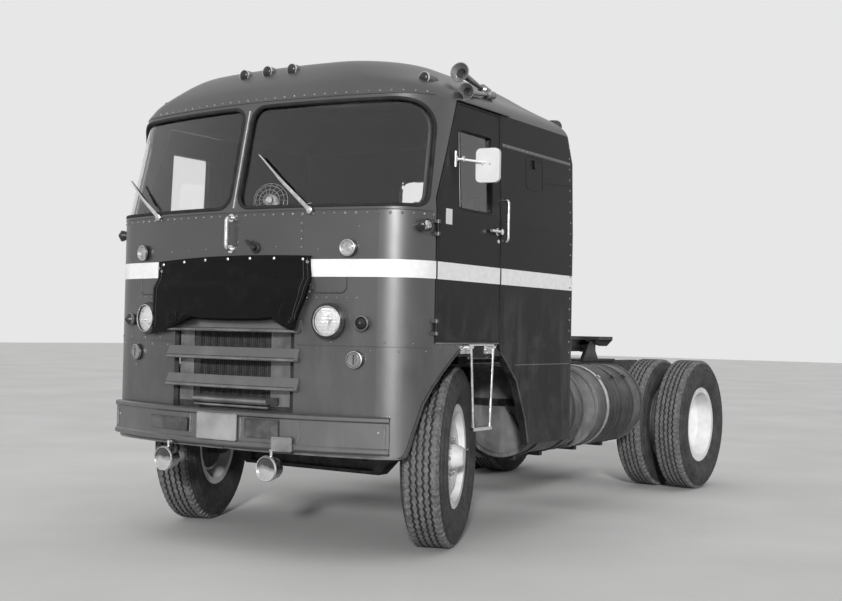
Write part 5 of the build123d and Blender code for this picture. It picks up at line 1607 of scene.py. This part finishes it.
def rim_indices(columns, rows):
    """The grid's edge in order, once round."""
    ring = [(i, 0) for i in range(columns)]
    ring += [(columns, j) for j in range(rows)]
    ring += [(i, rows) for i in range(columns, 0, -1)]
    ring += [(0, j) for j in range(rows, 0, -1)]
    return ring


SEAT_X = 640.0


def seats():
    """Two seats: boxed bases, seat pads and backs."""
    for side, tag in SIDES:
        x = side * SEAT_X
        base = Shape()
        slab(base, at(mm(x, 150, 1369)), (0.39, 0.41, 0.255), 0.03)
        piece("seat_base_" + tag, base, INSIDE)
        cushion("seat_pad_" + tag, mm(x, 120, 1556), (0.47, 0.50, 0.11), 0.028, 5)
        cushion("seat_back_" + tag, mm(x, 390, 1890), (0.46, 0.55, 0.085), 0.02, 5, math.radians(97))
    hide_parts("seats")


seats()


def bunk():
    """The sleeper's mattress with a wool blanket on it, over a plain shelf."""
    shelf = Shape()
    slab(shelf, at(mm(0, 852, 1715)), (2.19, 0.57, 0.028))
    board = piece("bunk_shelf", shelf, INSIDE)
    cushion("bunk_mattress", mm(0, 830, 1792), (2.16, 0.49, 0.115), 0.012, 1, finish=WOOL)
    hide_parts("bunk")


bunk()

DIALS_X = (480, 560, 640, 720, 800)
DIALS_Z = 1930
FAN_MIDDLE = (212, -900, 2058)
FAN_FOOT = (212, -880, 1965)
FAN_FACING = Vector((0.35, -0.93, 0.1))
# the fan's wire rings as (radius, height)
FAN_WIRES = [(0.105, 0.0), (0.088, 0.016), (0.062, 0.026), (0.034, 0.031)]


def dash_dials():
    """Round dials in the dash, a fan behind the left pane and papers on the dash."""
    tree = search_tree("dash")
    shape = Shape()
    for x in DIALS_X:
        point, _ = cast(mm(x, -300, DIALS_Z), FORWARD, tree)
        dial = [(0.0, 0.034), (0.008, 0.034), (0.008, 0.029), (0.003, 0.028), (0.003, 0.0)]
        lathe(shape, dial, at(point, REARWARD), 20)
    piece("dash_dials", shape, DULL_BRIGHT)
    guard = Shape()
    place = at(mm(*FAN_MIDDLE), FAN_FACING)
    for radius, lift in FAN_WIRES:
        tube(guard, ring(place, radius, 36, lift), 0.0018, 5, closed=True)
    for c, s in circle(16):
        spoke = [place @ Vector((r * c, r * s, h)) for r, h in FAN_WIRES[:3] + [(0.02, 0.032)]]
        tube(guard, spoke, 0.0014, 5)
    lathe(guard, [(0.034, 0.0), (0.034, 0.02), (0.026, 0.024)], place, 16)
    lathe(guard, [(-0.06, 0.0), (-0.06, 0.035), (-0.01, 0.04), (0.0, 0.0)], place, 18)
    tube(guard, [place @ Vector((0, 0, -0.04)), mm(*FAN_FOOT)], 0.012, 8)
    piece("dash_fan", guard, DULL_BRIGHT)
    sheets = Shape()
    for x, turn in ((300, 0.2), (352, -0.15)):
        spot = at(mm(x, -770, 1990)) @ Matrix.Rotation(turn, 4, "Z") @ Matrix.Rotation(1.0, 4, "X")
        rows = []
        for i in range(7):
            curl = 0.01 * math.sin(i / 6 * math.pi)
            across = [(-0.05 + j * 0.025, -0.07 + i * 0.023, curl + 0.004 * j) for j in range(5)]
            rows.append([spot @ Vector(p) for p in across])
        sheets.grid(rows)
    piece("dash_papers", sheets, PAPER)


dash_dials()


# Doors and sleeper sides: handle, window channel, tag, lock and hatch

HANDLE_Y = DOOR_REAR - 111
HANDLE_Z = 1926
HANDLE_OUT = 24
CHANNEL_Y = -364
# places on the side as (y, z)
DOOR_TAG = (-485, 1970)
DOOR_LOCK = (98, 1868)
HATCH_LATCH = (586, 2405)
HATCH_SCREWS = [(556, 2428), (604, 2428), (652, 2428)]
HATCH = [(470, 2235), (700, 2235), (700, 2450), (470, 2450)]
HATCH_RAIL = [(755, 2297), (1120, 2320)]


def door_trim():
    """The chrome handle and the light channel at the front of each side window."""
    for side, tag in SIDES:
        body = "door_" + tag
        grip = Shape()
        ends = [mm(side * (CAB_HALF + HANDLE_OUT), y, HANDLE_Z) for y in (HANDLE_Y + 66.5, HANDLE_Y - 60.5)]
        tube(grip, resample(ends, 0.02), 0.0098, 12)
        place = at(mm(side * CAB_HALF, HANDLE_Y + 60, HANDLE_Z), Vector((side, 0, 0)))
        post = [(0.0, 0.024), (0.004, 0.022), (0.006, 0.0178), (0.0335, 0.0178), (0.0345, 0.0)]
        lathe(grip, post, place, 20)
        piece(body + "_handle", grip, CHROME, body)
        channel = Shape()
        run = [from_side(CHANNEL_Y, z, side) for z in range(2036, 2490, 40)]
        bead(channel, [s for s in run if s], 0.005, 0.003)
        piece(body + "_channel", channel, EDGE_WEAR_AND_HIGHLIGHT, body)


door_trim()


def side_details():
    """The white tag on the left door, both doors' locks, and the sleeper hatches with their latches."""
    point, normal = from_side(*DOOR_TAG, 1)
    label = Shape()
    slab(label, at(point + normal * 0.001, normal), (0.068, 0.09, 0.0012))
    piece("door_tag", label, WHITE, "door_left")
    for side, tag in SIDES:
        body = "door_" + tag
        lock = Shape()
        place = at(*from_side(*DOOR_LOCK, side))
        lathe(lock, [(0.0, 0.013), (0.004, 0.012), (0.005, 0.006), (0.003, 0.0)], place, 16)
        piece(body + "_lock", lock, CHROME, body)
        hatch = Shape()
        bead(hatch, side_run(rounded(HATCH, 30, 4), side, closed=True), 0.004, 0.0016, closed=True)
        bead(hatch, side_run(HATCH_RAIL, side, 0.03, rise=4.0), 0.006, 0.0025)
        for y, z in HATCH_SCREWS:
            dome(hatch, *from_side(y, z, side), 0.0065, 0.004)
        latch = at(*from_side(*HATCH_LATCH, side)) @ at((0, 0, 0.006))
        slab(hatch, latch, (0.03, 0.055, 0.01), 0.006)
        piece("sleeper_hatch_" + tag, hatch, SHADED_SIDE_PAINT)


side_details()


# Tanks: straps, end caps and the wrinkled wrap on the rear pair

TANK_X = CAB_HALF - 395
TANK_Z = 765
TANK_R = 0.300
# strap: along, width, finish
TANK_STRAPS = [
    (1014, 34, "dark"), (1406, 34, "dark"), (1977, 42, "bright"), (2453, 38, "dark"), (2240, 24, "dark"),
]
# end caps that face the front: along
TANK_CAPS = [860, 1790]
CAP_PROFILE = [
    (-0.016, 0.285), (-0.012, 0.27), (-0.014, 0.25), (-0.009, 0.235),
    (-0.013, 0.215), (-0.008, 0.12), (-0.004, 0.0),
]
CAP_RIM = [(-0.004, 0.309), (0.002, 0.309), (0.002, 0.286), (-0.004, 0.286)]
WRAP_START = 2004
WRAP_LENGTH = 420
WRAP_ROWS = 36


def wrinkled_wrap(side):
    """The thin creased sheet round the rear tank of one side."""
    rows = []
    for row in range(WRAP_ROWS + 1):
        y = WRAP_START + WRAP_LENGTH * row / WRAP_ROWS
        turn = []
        for c, s in circle(72):
            crease = noise.noise(Vector((y / 55, c * 2.2, s * 2.2)))
            r = 1000 * (0.3012 + 0.0035 * (1 + crease) + 0.0012 * math.sin(y / 9))
            turn.append(mm(side * (TANK_X + r * c), y, TANK_Z + r * s))
        rows.append(turn)
    wrap = Shape()
    wrap.grid(rows, around=True)
    return wrap


def tank_trim():
    """Straps round the tanks, ringed end caps and the dark wrapped stretch."""
    for side, tag in SIDES:
        bright = Shape()
        dark = Shape()
        caps = Shape()
        x = side * TANK_X
        for y, width, kind in TANK_STRAPS:
            shape = bright if kind == "bright" else dark
            w = width / 2000
            half = [(1.0, -0.002), (1.0, 0.0085), (0.6, 0.0105)]
            profile = [(-w * share, TANK_R + out) for share, out in half]
            profile += [(w * share, TANK_R + out) for share, out in reversed(half)]
            lathe(shape, profile, at(mm(x, y, TANK_Z), REARWARD), 48)
            bolt = at(mm(side * (TANK_X + 214), y, TANK_Z + 214), Vector((side, 0, 1)))
            slab(shape, bolt @ at((0, 0, 0.012)), (0.03, 0.03, 0.016), 0.004)
        for y in TANK_CAPS:
            place = at(mm(x, y, TANK_Z), FORWARD)
            lathe(caps, CAP_PROFILE, place, 48)
            lathe(caps, CAP_RIM, place, 48, closed=True)
        slab(dark, at(mm(x, 846, 833)), (0.56, 0.006, 0.046))
        tube(dark, resample([mm(side * 868, 840, 812), mm(side * 992, 840, 624)], 0.03), 0.011, 8)
        piece("tank_straps_" + tag, dark, LAMP_BLACK)
        piece("tank_bright_strap_" + tag, bright, DULL_BRIGHT)
        piece("tank_caps_" + tag, caps, TANK_CAP)
        piece("tank_wrap_" + tag, wrinkled_wrap(side), TANK_DARK)


tank_trim()


# Mirrors: the glass on the back of each head, its clamp and screws

# half width and half height of the glass, in metres, and its middle across and up
MIRROR_A = 0.066
MIRROR_B = 0.092
MIRROR_X = 1332
MIRROR_Z = 2282
# the clamp's rod: across, along, low and high; its ring: across, along, height, radius
CLAMP_ROD = (1203, -440, 2262, 2354)
CLAMP_RING = (1226, -386, 2314, 13)
MIRROR_SCREWS = [(1306, 2290), (1352, 2290)]


def mirror_fronts():
    """The glass of each door mirror, the clamp on its rod and two screws."""
    corners = [(-MIRROR_A, -MIRROR_B), (MIRROR_A, -MIRROR_B), (MIRROR_A, MIRROR_B), (-MIRROR_A, MIRROR_B)]
    for side, tag in SIDES:
        node = "mirror_" + tag
        tree = search_tree(node)
        point, normal = cast(mm(side * MIRROR_X, 400, MIRROR_Z), FORWARD, tree)
        place = at(point + normal * 0.001, normal)
        glass = Shape()
        glass.lid([place @ Vector((p.x, p.y, 0.001)) for p in rounded(corners, 0.026, 5)])
        piece(node + "_glass", glass, MIRROR_GLASS, "door_" + tag)
        NODES[node].data.materials[0] = WHITE
        clamp = Shape()
        x, y, low, high = CLAMP_ROD
        tube(clamp, [mm(side * x, y, low), mm(side * x, y, high)], 0.009, 10)
        x, y, z, r = CLAMP_RING
        tube(clamp, [mm(side * x, y + r * c, z + r * s) for c, s in circle(20)], 0.004, 6, closed=True)
        for x, z in MIRROR_SCREWS:
            spot = from_front(side * x, z, tree)
            if spot:
                dome(clamp, *spot, 0.007, 0.004)
        piece(node + "_clamp", clamp, CHROME, "door_" + tag)


mirror_fronts()


# Wipers: doubled tapered arms, blades and pivot caps

WIPER_PIVOT_Z = 1985
# the windshield's foot and how far it leans back per millimetre up
PANE_FOOT_Z = 1996
PANE_LEAN = 0.216
# wiper: pivot across, tip across, tip height, and where across the nose its tip's bow is read
WIPERS = [(560.0, 150.0, 2330.0, 150.0), (-652.0, -1010.0, 2240.0, 900.0)]


def wiper_trim():
    """A second thin arm beside each wiper's rod, its rubber blade and a cap on the pivot."""
    arms = Shape()
    blades = Shape()
    for pivot_x, tip_x, tip_z, bow_x in WIPERS:
        start = mm(pivot_x, nose_y(pivot_x) - 16, WIPER_PIVOT_Z)
        tip = mm(tip_x, nose_y(bow_x) + (tip_z - PANE_FOOT_Z) * PANE_LEAN - 16, tip_z)
        middle = (start + tip) / 2 + FORWARD * 0.014
        across = (tip - start).normalized().cross(FORWARD).normalized()
        for sign in (1, -1):
            run = [start + across * sign * 0.010, middle + across * sign * 0.006 + FORWARD * 0.004,
                   tip.lerp(middle, 0.25) + FORWARD * 0.006]
            tube(arms, resample(run, 0.03), 0.0032, 8)
        lathe(arms, [(-0.008, 0.022), (0.006, 0.021), (0.012, 0.013), (0.014, 0.0)], at(start, FORWARD), 20)
        near = start.lerp(tip, 0.40) - FORWARD * 0.004
        far = tip - FORWARD * 0.002
        tube(blades, resample([near, (near + far) / 2, far], 0.03), 0.0065, 8)
    piece("wiper_arms", arms, CHROME)
    piece("wiper_blades", blades, SEAL)


wiper_trim()


# Floor, backdrop and light

FLOOR_REACH = 60.0


def floor():
    """A plain pale floor."""
    mesh = bpy.data.meshes.new("floor")
    r = FLOOR_REACH
    mesh.from_pydata([(-r, -r, 0), (r, -r, 0), (r, r, 0), (-r, r, 0)], [], [(0, 1, 2, 3)])
    f = Finish("floor")
    worn = f.clouds(0.6, 5.0, 0.55, 0.3, 0.7)
    f.set(base_color=f.mix(worn, (0.52, 0.52, 0.515), (0.60, 0.60, 0.595)), roughness=0.85)
    mesh.materials.append(f.material)
    link("floor", mesh)


PALE_GREY = 0.80
SKY_STRENGTH = 0.75
# the light's grade from straight down at 0 to straight up at 1, and its greys
SKY_GRADE = [(0.46, 0.05), (0.72, 0.09), (0.95, 1.5)]


def backdrop():
    """A pale surround that is seen, mirrored and seen through, and a graded one for diffuse light."""
    world = bpy.data.worlds.new("surround")
    bpy.context.scene.world = world
    world.use_nodes = True
    g = Graph(world.node_tree)
    rays = g.node("LightPath").outputs
    up = g.node("SeparateXYZ", vector=g.node("TexCoord").outputs["Generated"]).outputs["Z"]
    ramp = g.node("ValToRGB", fac=g.calc("MULTIPLY_ADD", up, 0.5, 0.5))
    stops = ramp.color_ramp.elements
    stops.new(0.5)
    for stop, (position, grey) in zip(stops, SKY_GRADE):
        stop.position = position
        stop.color = (grey, grey, grey, 1)
    lit = g.node("Background", color=ramp.outputs["Color"], strength=SKY_STRENGTH)
    seen = g.node("Background", color=PALE_GREY, strength=1.0)
    direct = g.calc("MAXIMUM", rays["Is Camera Ray"], rays["Is Transmission Ray"])
    choose = g.node("MixShader", fac=g.calc("MAXIMUM", direct, rays["Is Glossy Ray"]))
    g.put(choose.inputs[1], lit.outputs["Background"])
    g.put(choose.inputs[2], seen.outputs["Background"])
    g.node("OutputWorld", surface=choose.outputs["Shader"])


# azimuths and heights are in degrees, as toward() takes them
SUN_AZIMUTH = 30.7
SUN_HEIGHT = 15.0
SUN_STRENGTH = 2.9
SUN_SPREAD = 5
FILL_AZIMUTH = -18
FILL_HEIGHT = 24
FILL_AWAY = 12
FILL_LIFT = 1.2
FILL_SIZE = (7.0, 4.0)
FILL_POWER = 130.0


def lights():
    """A low soft sun from the front and left, and a wide panel from the front and right."""
    sun = bpy.data.lights.new("sun", "SUN")
    sun.energy = SUN_STRENGTH
    sun.angle = math.radians(SUN_SPREAD)
    link("sun", sun).matrix_world = upright(toward(SUN_AZIMUTH, SUN_HEIGHT))
    fill = bpy.data.lights.new("fill", "AREA")
    fill.shape = "RECTANGLE"
    fill.size, fill.size_y = FILL_SIZE
    fill.energy = FILL_POWER
    lamp = link("fill", fill)
    lamp.visible_glossy = False
    lamp.visible_transmission = False
    heading = toward(FILL_AZIMUTH, FILL_HEIGHT)
    lamp.matrix_world = at(heading * FILL_AWAY + Vector((0, 0, FILL_LIFT)), heading)


floor()
backdrop()
lights()
bpy.context.scene.view_settings.view_transform = "Standard"
